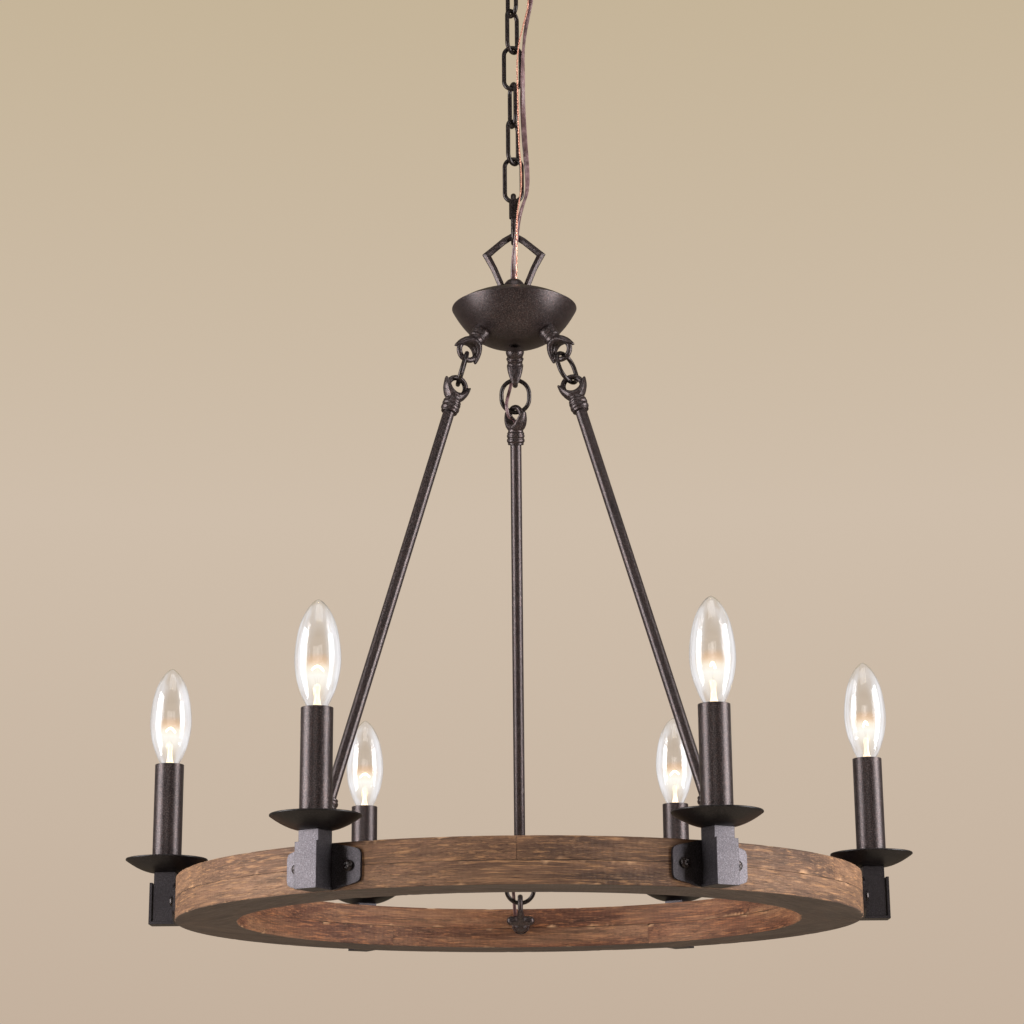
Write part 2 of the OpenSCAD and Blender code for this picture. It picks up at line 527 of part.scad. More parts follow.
crossbar();
canopy_nipple();
nipple_locknut();
canopy_loop();
ground_screw();
wire_connectors();
canopy();
canopy_collar();
chain_link(1);  // chain_link_1
chain_link(2);  // chain_link_2
chain_link(3);  // chain_link_3
chain_link(4);  // chain_link_4
chain_link(5);  // chain_link_5
chain_link(6);  // chain_link_6
quick_link();
quick_link_nut();
hub_loop();
hub_cover();
hub_bowl();
hub_eyes();
hub_nuts();
hub_nipple();
rod(rods[0]);  // left_rod
rod_eyes(rods[0], 0, -50);  // left_rod_eyes
rings(rods[0], -24, -20);  // left_rings
rod(rods[1]);  // right_rod
rod_eyes(rods[1], 20, 60);  // right_rod_eyes
rings(rods[1], -6, 28);  // right_rings
rod(rods[2]);  // rear_rod
rod_eyes(rods[2], 40, 20);  // rear_rod_eyes
rings(rods[2], 0, 0);  // rear_rings
rim_layer(layer_h, 0);  // rim_upper_layer
rim_layer(0, 30);  // rim_lower_layer
rim_eye_bolts();
rim_brackets();
bracket_screws();
candle_posts();
drip_pans();
candle_nipples();
candle_nuts();
lamp_sockets();
socket_brass();
candle_covers();
supply_cord();
ground_wire();
feed_cord();
rim_feed_cord();
bulb_glass(1);  // bulb_1_glass
bulb_base(1);  // bulb_1_base
bulb_glass(2);  // bulb_2_glass
bulb_base(2);  // bulb_2_base
bulb_glass(3);  // bulb_3_glass
bulb_base(3);  // bulb_3_base
bulb_glass(4);  // bulb_4_glass
bulb_base(4);  // bulb_4_base
bulb_glass(5);  // bulb_5_glass
bulb_base(5);  // bulb_5_base
bulb_glass(6);  // bulb_6_glass
bulb_base(6);  // bulb_6_base
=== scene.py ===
import bpy
import bmesh
import json
import math
import random
from mathutils import Matrix, Vector, noise


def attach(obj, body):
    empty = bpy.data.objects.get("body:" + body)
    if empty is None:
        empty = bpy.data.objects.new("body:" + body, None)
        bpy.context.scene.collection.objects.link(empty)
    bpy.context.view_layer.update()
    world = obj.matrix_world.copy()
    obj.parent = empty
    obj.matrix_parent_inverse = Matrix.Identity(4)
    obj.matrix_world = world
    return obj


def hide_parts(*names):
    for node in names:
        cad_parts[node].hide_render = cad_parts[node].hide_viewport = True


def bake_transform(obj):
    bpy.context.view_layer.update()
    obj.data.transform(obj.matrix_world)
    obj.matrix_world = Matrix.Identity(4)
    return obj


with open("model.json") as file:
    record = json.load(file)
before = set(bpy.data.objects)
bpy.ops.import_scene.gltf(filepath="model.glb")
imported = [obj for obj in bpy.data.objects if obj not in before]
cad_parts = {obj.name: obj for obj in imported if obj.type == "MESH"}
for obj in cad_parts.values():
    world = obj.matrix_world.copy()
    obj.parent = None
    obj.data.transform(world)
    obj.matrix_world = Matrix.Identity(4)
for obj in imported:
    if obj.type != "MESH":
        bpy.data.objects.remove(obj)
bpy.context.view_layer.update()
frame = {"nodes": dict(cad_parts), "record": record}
N = frame["nodes"]
random.seed(7)
scene = bpy.context.scene
DROP = 0.920
MM = 0.001
CANDLES = [-30, 30, 90, 150, -150, -90]
RODS = [-60, 60, 180]


def H(h):
    """Height above the rim's underside in mm to the row's z in metres."""
    return h * MM - DROP


def srgb(r, g, b, a=1.0):
    def f(c):
        c /= 255
        return c / 12.92 if c <= 0.04045 else ((c + 0.055) / 1.055) ** 2.4

    return (f(r), f(g), f(b), a)


# ---------------------------------------------------------------- camera
cam_data = bpy.data.cameras.new("camera")
cam_data.sensor_width = 36
cam_data.lens = 84.11
cam_data.clip_end = 60
cam = bpy.data.objects.new("camera", cam_data)
cam.location = (0.0118, -1.9849, -1.1115)
cam.rotation_euler = (Matrix.Rotation(math.radians(0.438), 3, "Z") @ Matrix.Rotation(math.radians(105.26), 3, "X")
                      @ Matrix.Rotation(math.radians(-0.434), 3, "Z")).to_euler()
scene.collection.objects.link(cam)
scene.camera = cam
scene.view_settings.view_transform = "Standard"
scene.view_settings.look = "None"
scene.view_settings.exposure = 0
scene.view_settings.gamma = 1


# ---------------------------------------------------------------- mesh helpers
def new_object(name, verts, faces, smooth=None):
    me = bpy.data.meshes.new(name)
    me.from_pydata(verts, [], faces)
    me.validate()
    me.update()
    o = bpy.data.objects.new(name, me)
    scene.collection.objects.link(o)
    if smooth is not None:
        me.polygons.foreach_set("use_smooth", [True] * len(me.polygons))
        if smooth < 180:
            me.set_sharp_from_angle(angle=math.radians(smooth))
    return o


def finish_piece(o, body, material, stands_for=()):
    o.data.materials.clear()
    o.data.materials.append(material)
    if body:
        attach(o, body)
    if stands_for:
        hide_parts(*stands_for)
    return o


def az_matrix(a):
    return Matrix.Rotation(math.radians(a), 4, "Z")


def smooth_line(pts, m):
    """Points of a curve through pts, m to a span."""
    out = []
    n = len(pts)
    for k in range(n - 1):
        a, b, c, d = pts[max(0, k - 1)], pts[k], pts[k + 1], pts[min(n - 1, k + 2)]
        for j in range(m):
            t = j / m
            out.append(
                tuple(
                    0.5 * (2 * b[i] + (c[i] - a[i]) * t + (2 * a[i] - 5 * b[i] + 4 * c[i] - d[i]) * t * t
                           + (3 * b[i] - a[i] - 3 * c[i] + d[i]) * t ** 3)
                    for i in range(len(b))
                )
            )
    out.append(tuple(pts[-1]))
    return out


def lathe_data(profile, n, centre=(0, 0)):
    """Closed outline (r, h) in mm turned about a vertical axis."""
    verts, faces = [], []
    rings = []
    for r, h in profile:
        if r < 1e-4:
            rings.append([len(verts)])
            verts.append((centre[0] * MM, centre[1] * MM, H(h)))
        else:
            base = len(verts)
            for j in range(n):
                t = 2 * math.pi * j / n
                verts.append(((centre[0] + r * math.cos(t)) * MM, (centre[1] + r * math.sin(t)) * MM, H(h)))
            rings.append(list(range(base, base + n)))
    m = len(rings)
    for i in range(m):
        a, b = rings[i], rings[(i + 1) % m]
        if len(a) == 1 and len(b) == 1:
            continue
        for j in range(n):
            k = (j + 1) % n
            if len(a) == 1:
                faces.append((a[0], b[k], b[j]))
            elif len(b) == 1:
                faces.append((a[j], a[k], b[0]))
            else:
                faces.append((a[j], a[k], b[k], b[j]))
    return verts, faces


def lathes(name, profile, n, centres, smooth=35):
    verts, faces = [], []
    for c in centres:
        v, f = lathe_data(profile, n, c)
        o = len(verts)
        verts += v
        faces += [tuple(i + o for i in q) for q in f]
    ob = new_object(name, verts, faces, smooth)
    bm = bmesh.new()
    bm.from_mesh(ob.data)
    bmesh.ops.recalc_face_normals(bm, faces=bm.faces)
    bm.to_mesh(ob.data)
    bm.free()
    return ob


def round_corner(p, q, r, rad, n=4):
    """Corner q between p and r, rounded."""
    p, q, r = Vector(p), Vector(q), Vector(r)
    d1, d2 = (p - q).normalized(), (r - q).normalized()
    ang = d1.angle(d2)
    if ang > math.radians(170):
        return [tuple(q)]
    t = min(rad / math.tan(ang / 2), 0.45 * (p - q).length, 0.45 * (r - q).length)
    s, e = q + d1 * t, q + d2 * t
    return [tuple((1 - u) ** 2 * s + 2 * u * (1 - u) * q + u * u * e) for u in [i / n for i in range(n + 1)]]


def rounded(outline, radii):
    out = []
    m = len(outline)
    for i in range(m):
        rad = radii[i] if isinstance(radii, (list, tuple)) else radii
        if rad <= 0:
            out.append(tuple(outline[i]))
        else:
            out += round_corner(outline[i - 1], outline[i], outline[(i + 1) % m], rad)
    return out


def candle_centre(a, r=291.5):
    return (r * math.sin(math.radians(a)), -r * math.cos(math.radians(a)))


CENTRES = [candle_centre(a) for a in CANDLES]


def cast(name, node, voxel, rounds, factor=0.5):
    """The CAD node's own solids with their edges rounded the way a casting or a painted pressing has them."""
    me = N[node].data.copy()
    me.name = name
    me.materials.clear()
    src = bpy.data.objects.new(name + "_src", me)
    scene.collection.objects.link(src)
    r = src.modifiers.new("r", "REMESH")
    r.mode = "VOXEL"
    r.voxel_size = voxel * MM
    r.adaptivity = 0
    s = src.modifiers.new("s", "SMOOTH")
    s.factor = factor
    s.iterations = rounds
    dg = bpy.context.evaluated_depsgraph_get()
    got = bpy.data.meshes.new_from_object(src.evaluated_get(dg))
    got.name = name
    bpy.data.objects.remove(src)
    bpy.data.meshes.remove(me)
    o = bpy.data.objects.new(name, got)
    scene.collection.objects.link(o)
    got.polygons.foreach_set("use_smooth", [True] * len(got.polygons))
    return o


# ---------------------------------------------------------------- materials
def material(name):
    m = bpy.data.materials.new(name)
    m.use_nodes = True
    nt = m.node_tree
    nt.nodes.clear()
    out = nt.nodes.new("ShaderNodeOutputMaterial")
    b = nt.nodes.new("ShaderNodeBsdfPrincipled")
    nt.links.new(b.outputs[0], out.inputs[0])
    return m, nt, b


def node(nt, kind, **kw):
    n = nt.nodes.new(kind)
    for k, v in kw.items():
        if k == "ins":
            for i, x in v.items():
                n.inputs[i].default_value = x
        else:
            setattr(n, k, v)
    return n


def coords(nt, scale=(1, 1, 1), which="Object"):
    tc = node(nt, "ShaderNodeTexCoord")
    mp = node(nt, "ShaderNodeMapping")
    mp.inputs["Scale"].default_value = scale
    nt.links.new(tc.outputs[which], mp.inputs["Vector"])
    return mp.outputs[0]


def noise_of(nt, vec, scale, detail=3, rough=0.55, distort=0.0):
    n = node(nt, "ShaderNodeTexNoise")
    n.inputs["Scale"].default_value = scale
    n.inputs["Detail"].default_value = detail
    n.inputs["Roughness"].default_value = rough
    n.inputs["Distortion"].default_value = distort
    nt.links.new(vec, n.inputs["Vector"])
    return n.outputs["Fac"]


def ramp(nt, fac, stops):
    r = node(nt, "ShaderNodeValToRGB")
    e = r.color_ramp.elements
    e[0].position, e[0].color = stops[0]
    e[1].position, e[1].color = stops[-1]
    for p, c in stops[1:-1]:
        x = e.new(p)
        x.color = c
    nt.links.new(fac, r.inputs[0])
    return r.outputs[0]


def grey(v):
    return (v, v, v, 1)


def mix(nt, fac, a, b, kind="MIX"):
    m = node(nt, "ShaderNodeMix", data_type="RGBA", blend_type=kind)
    for sock, v in ((m.inputs[0], fac), (m.inputs[6], a), (m.inputs[7], b)):
        if isinstance(v, (int, float, tuple)):
            sock.default_value = v
        else:
            nt.links.new(v, sock)
    return m.outputs[2]


def calc(nt, op, a, b=None, clamp=False):
    m = node(nt, "ShaderNodeMath", operation=op, use_clamp=clamp)
    for i, v in enumerate((a, b)):
        if v is None:
            continue
        if isinstance(v, (int, float)):
            m.inputs[i].default_value = v
        else:
            nt.links.new(v, m.inputs[i])
    return m.outputs[0]


def bump(nt, b, height, strength, distance, prior=None):
    n = node(nt, "ShaderNodeBump")
    n.inputs["Strength"].default_value = strength
    n.inputs["Distance"].default_value = distance
    nt.links.new(height, n.inputs["Height"])
    if prior is not None:
        nt.links.new(prior, n.inputs["Normal"])
    if b is not None:
        nt.links.new(n.outputs[0], b.inputs["Normal"])
    return n.outputs[0]


def coat(name, dark, mid, light, metallic, rough_lo, rough_hi, grain=780, strength=0.3, rust=None, rust_share=0.0):
    """Baked powder paint: fine speckle over a slow change of tone, with a faint orange-peel surface."""
    m, nt, b = material(name)
    v = coords(nt)
    fine = noise_of(nt, v, grain, 2, 0.6)
    spots = noise_of(nt, v, grain * 0.42, 3, 0.6)
    broad = noise_of(nt, v, 26, 3, 0.55)
    c = ramp(nt, fine, [(0.36, dark), (0.52, mid), (0.68, light)])
    if rust:
        c = mix(nt, ramp(nt, spots, [(0.50, grey(0)), (0.66, grey(rust_share))]), c, rust)
    tint = ramp(nt, broad, [(0.32, (0.84, 0.80, 0.80, 1)), (0.68, (1.14, 1.08, 1.05, 1))])
    nt.links.new(mix(nt, 1.0, c, tint, "MULTIPLY"), b.inputs["Base Color"])
    nt.links.new(ramp(nt, fine, [(0.34, grey(rough_lo)), (0.68, grey(rough_hi))]), b.inputs["Roughness"])
    b.inputs["Metallic"].default_value = metallic
    bump(nt, b, fine, strength, 0.00012)
    return m


BRONZE = coat("bronze_coat", srgb(24, 20, 21), srgb(48, 42, 43), srgb(90, 82, 83), 0.62, 0.30, 0.40, 1400, 0.22,
              rust=srgb(74, 54, 50), rust_share=0.4)
BRACKET = coat("bracket_coat", srgb(46, 45, 48), srgb(60, 58, 62), srgb(78, 76, 81), 0.85, 0.36, 0.40, 1250, 0.10,
               rust=srgb(56, 50, 51), rust_share=0.25)

def paint_edge_shade(m, share=0.8, width=0.0011):
    """Painted shade: the colour is darkened along outside corners."""
    nt = m.node_tree
    b = [n for n in nt.nodes if n.bl_idname == "ShaderNodeBsdfPrincipled"][0]
    ao = node(nt, "ShaderNodeAmbientOcclusion", inside=True, samples=6)
    ao.inputs["Distance"].default_value = width
    link = b.inputs["Base Color"].links[0]
    edge_shade_mask = ramp(nt, ao.outputs["AO"], [(0.30, grey(share)), (0.75, grey(0.0))])
    nt.links.new(mix(nt, edge_shade_mask, link.from_socket, srgb(20, 18, 19)), b.inputs["Base Color"])


# painted shade along the outside corners of the brackets and posts
paint_edge_shade(BRACKET)
PAN = coat("pan_coat", srgb(10, 9, 9), srgb(22, 19, 20), srgb(52, 47, 48), 0.55, 0.34, 0.44, 1250, 0.2)
IRON = coat("chain_coat", srgb(16, 13, 13), srgb(32, 27, 27), srgb(62, 55, 54), 0.6, 0.24, 0.36, 1050, 0.2,
            rust=srgb(62, 44, 40), rust_share=0.3)
ZINC = coat("zinc", srgb(120, 120, 116), srgb(165, 165, 160), srgb(190, 190, 186), 1.0, 0.28, 0.42, 420, 0.12)
GREEN = coat("green_screw", srgb(12, 66, 26), srgb(22, 92, 38), srgb(40, 116, 56), 0.2, 0.3, 0.45, 700, 0.1)
BRASS = coat("brass", srgb(150, 118, 66), srgb(188, 156, 96), srgb(214, 186, 130), 1.0, 0.22, 0.36, 300, 0.1)
SOCKET = coat("socket_body", srgb(196, 190, 172), srgb(216, 210, 192), srgb(228, 222, 206), 0.0, 0.45, 0.6, 500, 0.12)
NUTS = coat("wire_nuts", srgb(176, 84, 20), srgb(205, 104, 28), srgb(222, 128, 50), 0.0, 0.4, 0.55, 500, 0.12)


def cord_material():
    m, nt, b = material("cord_jacket")
    v = coords(nt)
    broad = noise_of(nt, v, 140, 4, 0.6)
    fine = noise_of(nt, v, 1600, 2, 0.5)
    c = ramp(nt, broad, [(0.3, srgb(62, 42, 44)), (0.5, srgb(94, 70, 72)), (0.72, srgb(130, 104, 106))])
    nt.links.new(c, b.inputs["Base Color"])
    nt.links.new(ramp(nt, broad, [(0.3, grey(0.26)), (0.7, grey(0.42))]), b.inputs["Roughness"])
    bump(nt, b, fine, 0.2, 0.0001)
    return m


def copper_material():
    m, nt, b = material("bare_copper")
    v = coords(nt, (1, 1, 0.6))
    w = node(nt, "ShaderNodeTexWave", wave_type="BANDS", bands_direction="DIAGONAL")
    w.inputs["Scale"].default_value = 420
    w.inputs["Distortion"].default_value = 1.0
    nt.links.new(v, w.inputs["Vector"])
    c = ramp(nt, w.outputs["Fac"], [(0.1, srgb(140, 82, 64)), (0.6, srgb(214, 150, 126)), (0.95, srgb(238, 190, 168))])
    nt.links.new(c, b.inputs["Base Color"])
    b.inputs["Metallic"].default_value = 0.7
    b.inputs["Roughness"].default_value = 0.38
    bump(nt, b, w.outputs["Fac"], 0.5, 0.0002)
    return m


def glass_material():
    """Clear glass. Towards its outline it carries a pale painted reflection of the light tents, in soft upright
    streaks, and low inside a painted glow of the filament's light."""
    m, nt, b = material("bulb_glass")
    v = coords(nt)
    b.inputs["Base Color"].default_value = (0.985, 0.99, 1.0, 1)
    b.inputs["Transmission Weight"].default_value = 1.0
    b.inputs["IOR"].default_value = 1.45
    nt.links.new(ramp(nt, noise_of(nt, v, 90, 2), [(0.35, grey(0.0)), (0.75, grey(0.03))]), b.inputs["Roughness"])
    bump(nt, b, noise_of(nt, v, 55, 1), 0.04, 0.0006)
    lw = node(nt, "ShaderNodeLayerWeight")
    lw.inputs["Blend"].default_value = 0.5
    facing = lw.outputs["Facing"]
    streaks = noise_of(nt, coords(nt, (260, 260, 9)), 1.0, 2, 0.5)
    side = ramp(nt, facing, [(0.07, grey(0.0)), (0.20, grey(0.40)), (0.45, grey(0.60)), (0.72, grey(0.34)), (0.93, grey(0.04))])
    painted_reflection_mask = calc(nt, "MULTIPLY", side, ramp(nt, streaks, [(0.34, grey(0.12)), (0.60, grey(1.0))]))
    sep = node(nt, "ShaderNodeSeparateXYZ")
    nt.links.new(v, sep.inputs[0])
    height = calc(nt, "MULTIPLY", calc(nt, "ADD", sep.outputs[2], 0.7915), 1 / 0.0865)
    ends = ramp(nt, height, [(0.02, grey(0.35)), (0.25, grey(1.0)), (0.74, grey(0.9)), (0.97, grey(0.10))])
    # emission for the painted reflection of the light tents along the outline
    painted_reflection = node(nt, "ShaderNodeEmission")
    painted_reflection.inputs["Color"].default_value = srgb(250, 249, 252)
    painted_reflection.inputs["Strength"].default_value = 1.0
    m1 = node(nt, "ShaderNodeMixShader")
    nt.links.new(calc(nt, "MULTIPLY", painted_reflection_mask, ends, True), m1.inputs[0])
    nt.links.new(b.outputs[0], m1.inputs[1])
    nt.links.new(painted_reflection.outputs[0], m1.inputs[2])
    # painted glow of the filament on the glass: low in the bulb and strongest at the centre of its outline
    glow_height_band = ramp(nt, height, [(0.08, grey(0.0)), (0.20, grey(0.22)), (0.31, grey(0.72)), (0.37, grey(0.68)), (0.44, grey(0.20)), (0.50, grey(0.0))])
    glow_facing_band = ramp(nt, facing, [(0.0, grey(1.0)), (0.05, grey(0.85)), (0.16, grey(0.25)), (0.30, grey(0.0))])
    painted_glow = node(nt, "ShaderNodeEmission")
    nt.links.new(ramp(nt, height, [(0.05, srgb(255, 226, 186)), (0.30, srgb(255, 252, 244)), (0.37, srgb(255, 244, 224)), (0.45, srgb(255, 196, 138))]), painted_glow.inputs["Color"])
    painted_glow.inputs["Strength"].default_value = 1.05
    m2 = node(nt, "ShaderNodeMixShader")
    nt.links.new(calc(nt, "MULTIPLY", glow_height_band, glow_facing_band, True), m2.inputs[0])
    nt.links.new(m1.outputs[0], m2.inputs[1])
    nt.links.new(painted_glow.outputs[0], m2.inputs[2])
    out = [n for n in nt.nodes if n.bl_idname == "ShaderNodeOutputMaterial"][0]
    nt.links.new(m2.outputs[0], out.inputs[0])
    return m


def glow_material(name, colour, strength, base):
    m, nt, b = material(name)
    v = coords(nt)
    b.inputs["Base Color"].default_value = base
    b.inputs["Roughness"].default_value = 0.25
    b.inputs["Emission Strength"].default_value = strength
    c = ramp(nt, noise_of(nt, v, 260, 2), [(0.3, colour), (0.7, tuple(min(1, x * 1.25) for x in colour[:3]) + (1,))])
    nt.links.new(c, b.inputs["Emission Color"])
    return m


def wood_material():
    """Brushed and stained pine: fine fibres along each board, golden raised grain, dark stain in the pores and
    in slow patches, saw marks across, and painted shade on the underside, which is darkened and greyed."""
    m, nt, b = material("rim_wood")

    def attribute(name):
        return node(nt, "ShaderNodeAttribute", attribute_type="GEOMETRY", attribute_name=name)

    raw = attribute("grain").outputs["Vector"]
    wear = attribute("wear").outputs["Fac"]

    def scaled(s):
        mp = node(nt, "ShaderNodeMapping")
        mp.inputs["Scale"].default_value = s
        nt.links.new(raw, mp.inputs["Vector"])
        return mp.outputs[0]

    tc = node(nt, "ShaderNodeTexCoord")
    sep_n = node(nt, "ShaderNodeSeparateXYZ")
    nt.links.new(tc.outputs["Normal"], sep_n.inputs[0])
    sep_p = node(nt, "ShaderNodeSeparateXYZ")
    nt.links.new(tc.outputs["Object"], sep_p.inputs[0])
    rad = calc(nt, "SQRT", calc(nt, "ADD", calc(nt, "MULTIPLY", sep_p.outputs[0], sep_p.outputs[0]),
                                calc(nt, "MULTIPLY", sep_p.outputs[1], sep_p.outputs[1])))
    dot = calc(nt, "DIVIDE", calc(nt, "ADD", calc(nt, "MULTIPLY", sep_n.outputs[0], sep_p.outputs[0]),
                                  calc(nt, "MULTIPLY", sep_n.outputs[1], sep_p.outputs[1])), rad)
    inner = ramp(nt, calc(nt, "MULTIPLY", dot, -1.0), [(0.35, grey(0)), (0.65, grey(1))])
    # mask of the faces that look downwards, for the painted shade below
    underside_shade_mask = ramp(nt, calc(nt, "MULTIPLY", sep_n.outputs[2], -1.0), [(0.55, grey(0)), (0.8, grey(1))])

    fibre = noise_of(nt, scaled((46, 300, 1150)), 1.0, 4, 0.68, 0.1)
    stroke = noise_of(nt, scaled((34, 170, 640)), 1.0, 4, 0.60, 0.2)
    streak = noise_of(nt, scaled((10, 64, 240)), 1.0, 5, 0.60, 0.35)
    patch = noise_of(nt, scaled((5.5, 16, 46)), 1.0, 4, 0.58, 0.6)
    tone = noise_of(nt, scaled((2.2, 3, 7)), 1.0, 2, 0.5)
    pores = noise_of(nt, scaled((120, 900, 2600)), 1.0, 2, 0.6)
    saw = node(nt, "ShaderNodeTexWave", wave_type="BANDS", bands_direction="X")
    saw.inputs["Scale"].default_value = 74
    saw.inputs["Distortion"].default_value = 6.0
    saw.inputs["Detail"].default_value = 3
    nt.links.new(scaled((1, 0.3, 1.3)), saw.inputs["Vector"])

    c = ramp(nt, patch, [(0.28, srgb(62, 43, 32)), (0.42, srgb(86, 61, 45)), (0.56, srgb(108, 79, 58)), (0.74, srgb(128, 97, 73))])
    c = mix(nt, 1.0, c, ramp(nt, tone, [(0.3, (0.80, 0.79, 0.80, 1)), (0.7, (1.16, 1.12, 1.08, 1))]), "MULTIPLY")
    c = mix(nt, 1.0, c, ramp(nt, streak, [(0.30, grey(0.50)), (0.44, grey(0.84)), (0.60, grey(1.06)), (0.75, grey(1.22))]), "MULTIPLY")
    c = mix(nt, ramp(nt, stroke, [(0.53, grey(0)), (0.67, grey(0.62))]), c, srgb(160, 118, 80))
    c = mix(nt, ramp(nt, fibre, [(0.30, grey(0.80)), (0.44, grey(0.0))]), c, srgb(38, 26, 20))
    c = mix(nt, ramp(nt, fibre, [(0.56, grey(0.0)), (0.70, grey(0.42))]), c, srgb(172, 132, 94))
    c = mix(nt, ramp(nt, pores, [(0.30, grey(0.5)), (0.42, grey(0.0))]), c, srgb(44, 31, 24))
    ticks = ramp(nt, saw.outputs["Fac"], [(0.2, grey(0.92)), (0.7, grey(1.03))])
    red = mix(nt, 1.0, mix(nt, 1.0, c, (1.02, 0.72, 0.60, 1), "MULTIPLY"), ticks, "MULTIPLY")
    c = mix(nt, calc(nt, "MULTIPLY", inner, ramp(nt, patch, [(0.40, grey(0.95)), (0.62, grey(0.35))])), c, red)
    # painted shade: faces that look downwards are darkened and greyed
    painted_underside_shade = mix(nt, 0.72, mix(nt, 1.0, c, (0.52, 0.52, 0.53, 1), "MULTIPLY"),
               ramp(nt, streak, [(0.35, srgb(70, 62, 57)), (0.65, srgb(88, 79, 73))]))
    c = mix(nt, underside_shade_mask, c, painted_underside_shade)
    c = mix(nt, ramp(nt, wear, [(0.15, grey(0)), (0.8, grey(0.85))]), c, srgb(186, 146, 110))
    nt.links.new(c, b.inputs["Base Color"])
    nt.links.new(ramp(nt, fibre, [(0.3, grey(0.82)), (0.7, grey(0.60))]), b.inputs["Roughness"])
    b.inputs["Specular IOR Level"].default_value = 0.32
    n1 = bump(nt, None, fibre, 0.6, 0.0005)
    n2 = bump(nt, None, saw.outputs["Fac"], 0.18, 0.0004, n1)
    bump(nt, b, streak, 0.35, 0.0006, n2)
    return m


CORD = cord_material()
COPPER = copper_material()
GLASS = glass_material()
WOOD = wood_material()
FILAMENT = glow_material("filament", (1.0, 0.72, 0.36, 1), 55.0, (0.9, 0.8, 0.6, 1))
# the glass stem carries a painted glow of the filament's light
STEM_PAINTED_GLOW = glow_material("stem_painted_glow", (1.0, 0.60, 0.26, 1), 0.75, (0.95, 0.9, 0.8, 1))

BY_SLOT = {"zinc_steel": ZINC, "green_screw": GREEN, "wire_nuts": NUTS, "bronze_coat": BRONZE, "chain_steel": IRON,
           "rim_wood": WOOD, "socket_body": SOCKET, "socket_metal": BRASS, "cord_jacket": CORD, "bare_copper": COPPER,
           "bulb_glass": GLASS, "bulb_base": BRASS}
slot_of = {s["node"]: s["material_slot"] for s in frame["record"]["subparts"]}
DARK_FITTINGS = {"hub_nipple", "hub_nuts", "rim_rings", "bracket_screws"}
for name, o in N.items():
    o.data.materials.clear()
    o.data.materials.append(IRON if name in DARK_FITTINGS else BY_SLOT[slot_of[name]])
    o.data.polygons.foreach_set("use_smooth", [True] * len(o.data.polygons))
    o.data.set_sharp_from_angle(angle=math.radians(32))


# ---------------------------------------------------------------- cords
SUPPLY = [(-0.6, 0.5, 552), (-0.6, 0.5, 562), (-0.4, -2, 572), (0.4, -8, 582), (1.6, -13, 592), (3.4, -15.5, 604),
          (5.4, -15.5, 616), (8.4, -12.5, 628), (11.6, -7, 641), (12.6, -3, 656), (11.8, -1.5, 674), (10.6, -1.5, 692),
          (9.6, -2, 712), (9, -3.5, 734), (9.4, -5.5, 756), (9.8, -5.5, 776), (11.4, -4, 796), (14.4, -2.6, 816),
          (17.2, -3, 833), (16.4, -4.4, 841), (12.8, -5.6, 849), (8.6, -6.6, 856), (6.4, -6.2, 863), (3.4, -3.6, 869),
          (1.4, -0.6, 875.5), (0.9, 0.6, 884), (0.9, 0.6, 892), (0.9, 0.6, 900)]
GROUND = [(2, -1.4, 552), (2.1, -1.8, 562), (2.4, -5.6, 571), (2.5, -11.4, 580), (2.6, -16.4, 591), (2.9, -19, 604),
          (3.4, -19, 617), (5.2, -16.6, 630), (7, -13.6, 645), (7, -11.6, 664), (5.6, -11, 686), (5, -11.6, 708),
          (4.8, -12, 730), (4.4, -12, 752), (4.6, -11.8, 770), (6.6, -10.4, 788), (10.4, -7.6, 806), (14, -6.2, 822),
          (15, -7.8, 836), (12.6, -9, 843.5), (9.2, -9.4, 850), (6.4, -9.6, 856), (3.6, -9.2, 862), (1, -7.4, 867),
          (-1, -4.8, 871.5), (-1.8, -2.6, 875.5), (-1.7, -1.3, 881), (-1.7, -1.3, 890), (-1.7, -1.3, 900)]
FEED = [(0, 38, 529), (0, 42.5, 527), (0, 45.2, 523.4), (0, 46.8, 519.5), (-0.4, 49.5, 513), (-1.2, 54.5, 506),
        (-2.2, 59.6, 500), (-3, 62.3, 493), (-3.8, 61.2, 486), (-5, 57.6, 479.5), (-6.6, 53.4, 472), (-7.8, 50.6, 465),
        (-7.6, 50.2, 458.5), (-5.5, 53.1, 452.3), (-2.2, 56.2, 451.4), (-0.3, 58.7, 449.2), (0, 60.05, 446), (0, 61.65, 441),
        (0, 63.5, 435.3), (0, 66.5, 425.8)]
RIM_FEED = [(0, 170, 100.5), (0, 174.6, 86), (0, 177.5, 76.8), (-1.5, 179, 71), (-5, 178.2, 66), (-7.4, 178, 60),
            (-7, 181, 53.5), (-6.4, 187, 48.5), (-6, 195, 43.5), (-5.6, 206, 37.5), (-5.2, 218, 32), (-5, 230, 30),
            (-5, 246, 30), (-5, 258, 30)]


def twin_section(width, thick, n=8):
    """Outline of a flat two-core cord."""
    r = thick / 2
    c = width / 2 - r
    pts = []
    for i in range(n + 1):
        t = -math.pi * 0.62 + 2 * math.pi * 0.62 * i / n
        pts.append((c + r * math.cos(t), r * math.sin(t)))
    for i in range(n + 1):
        t = math.pi - math.pi * 0.62 + 2 * math.pi * 0.62 * i / n
        pts.append((-c + r * math.cos(t), r * math.sin(t)))
    return pts


def round_section(d, n=10, lobes=0):
    return [((1 + (0.12 * math.cos(lobes * 2 * math.pi * i / n) if lobes else 0)) * d / 2 * math.cos(2 * math.pi * i / n),
             (1 + (0.12 * math.cos(lobes * 2 * math.pi * i / n) if lobes else 0)) * d / 2 * math.sin(2 * math.pi * i / n)) for i in range(n)]


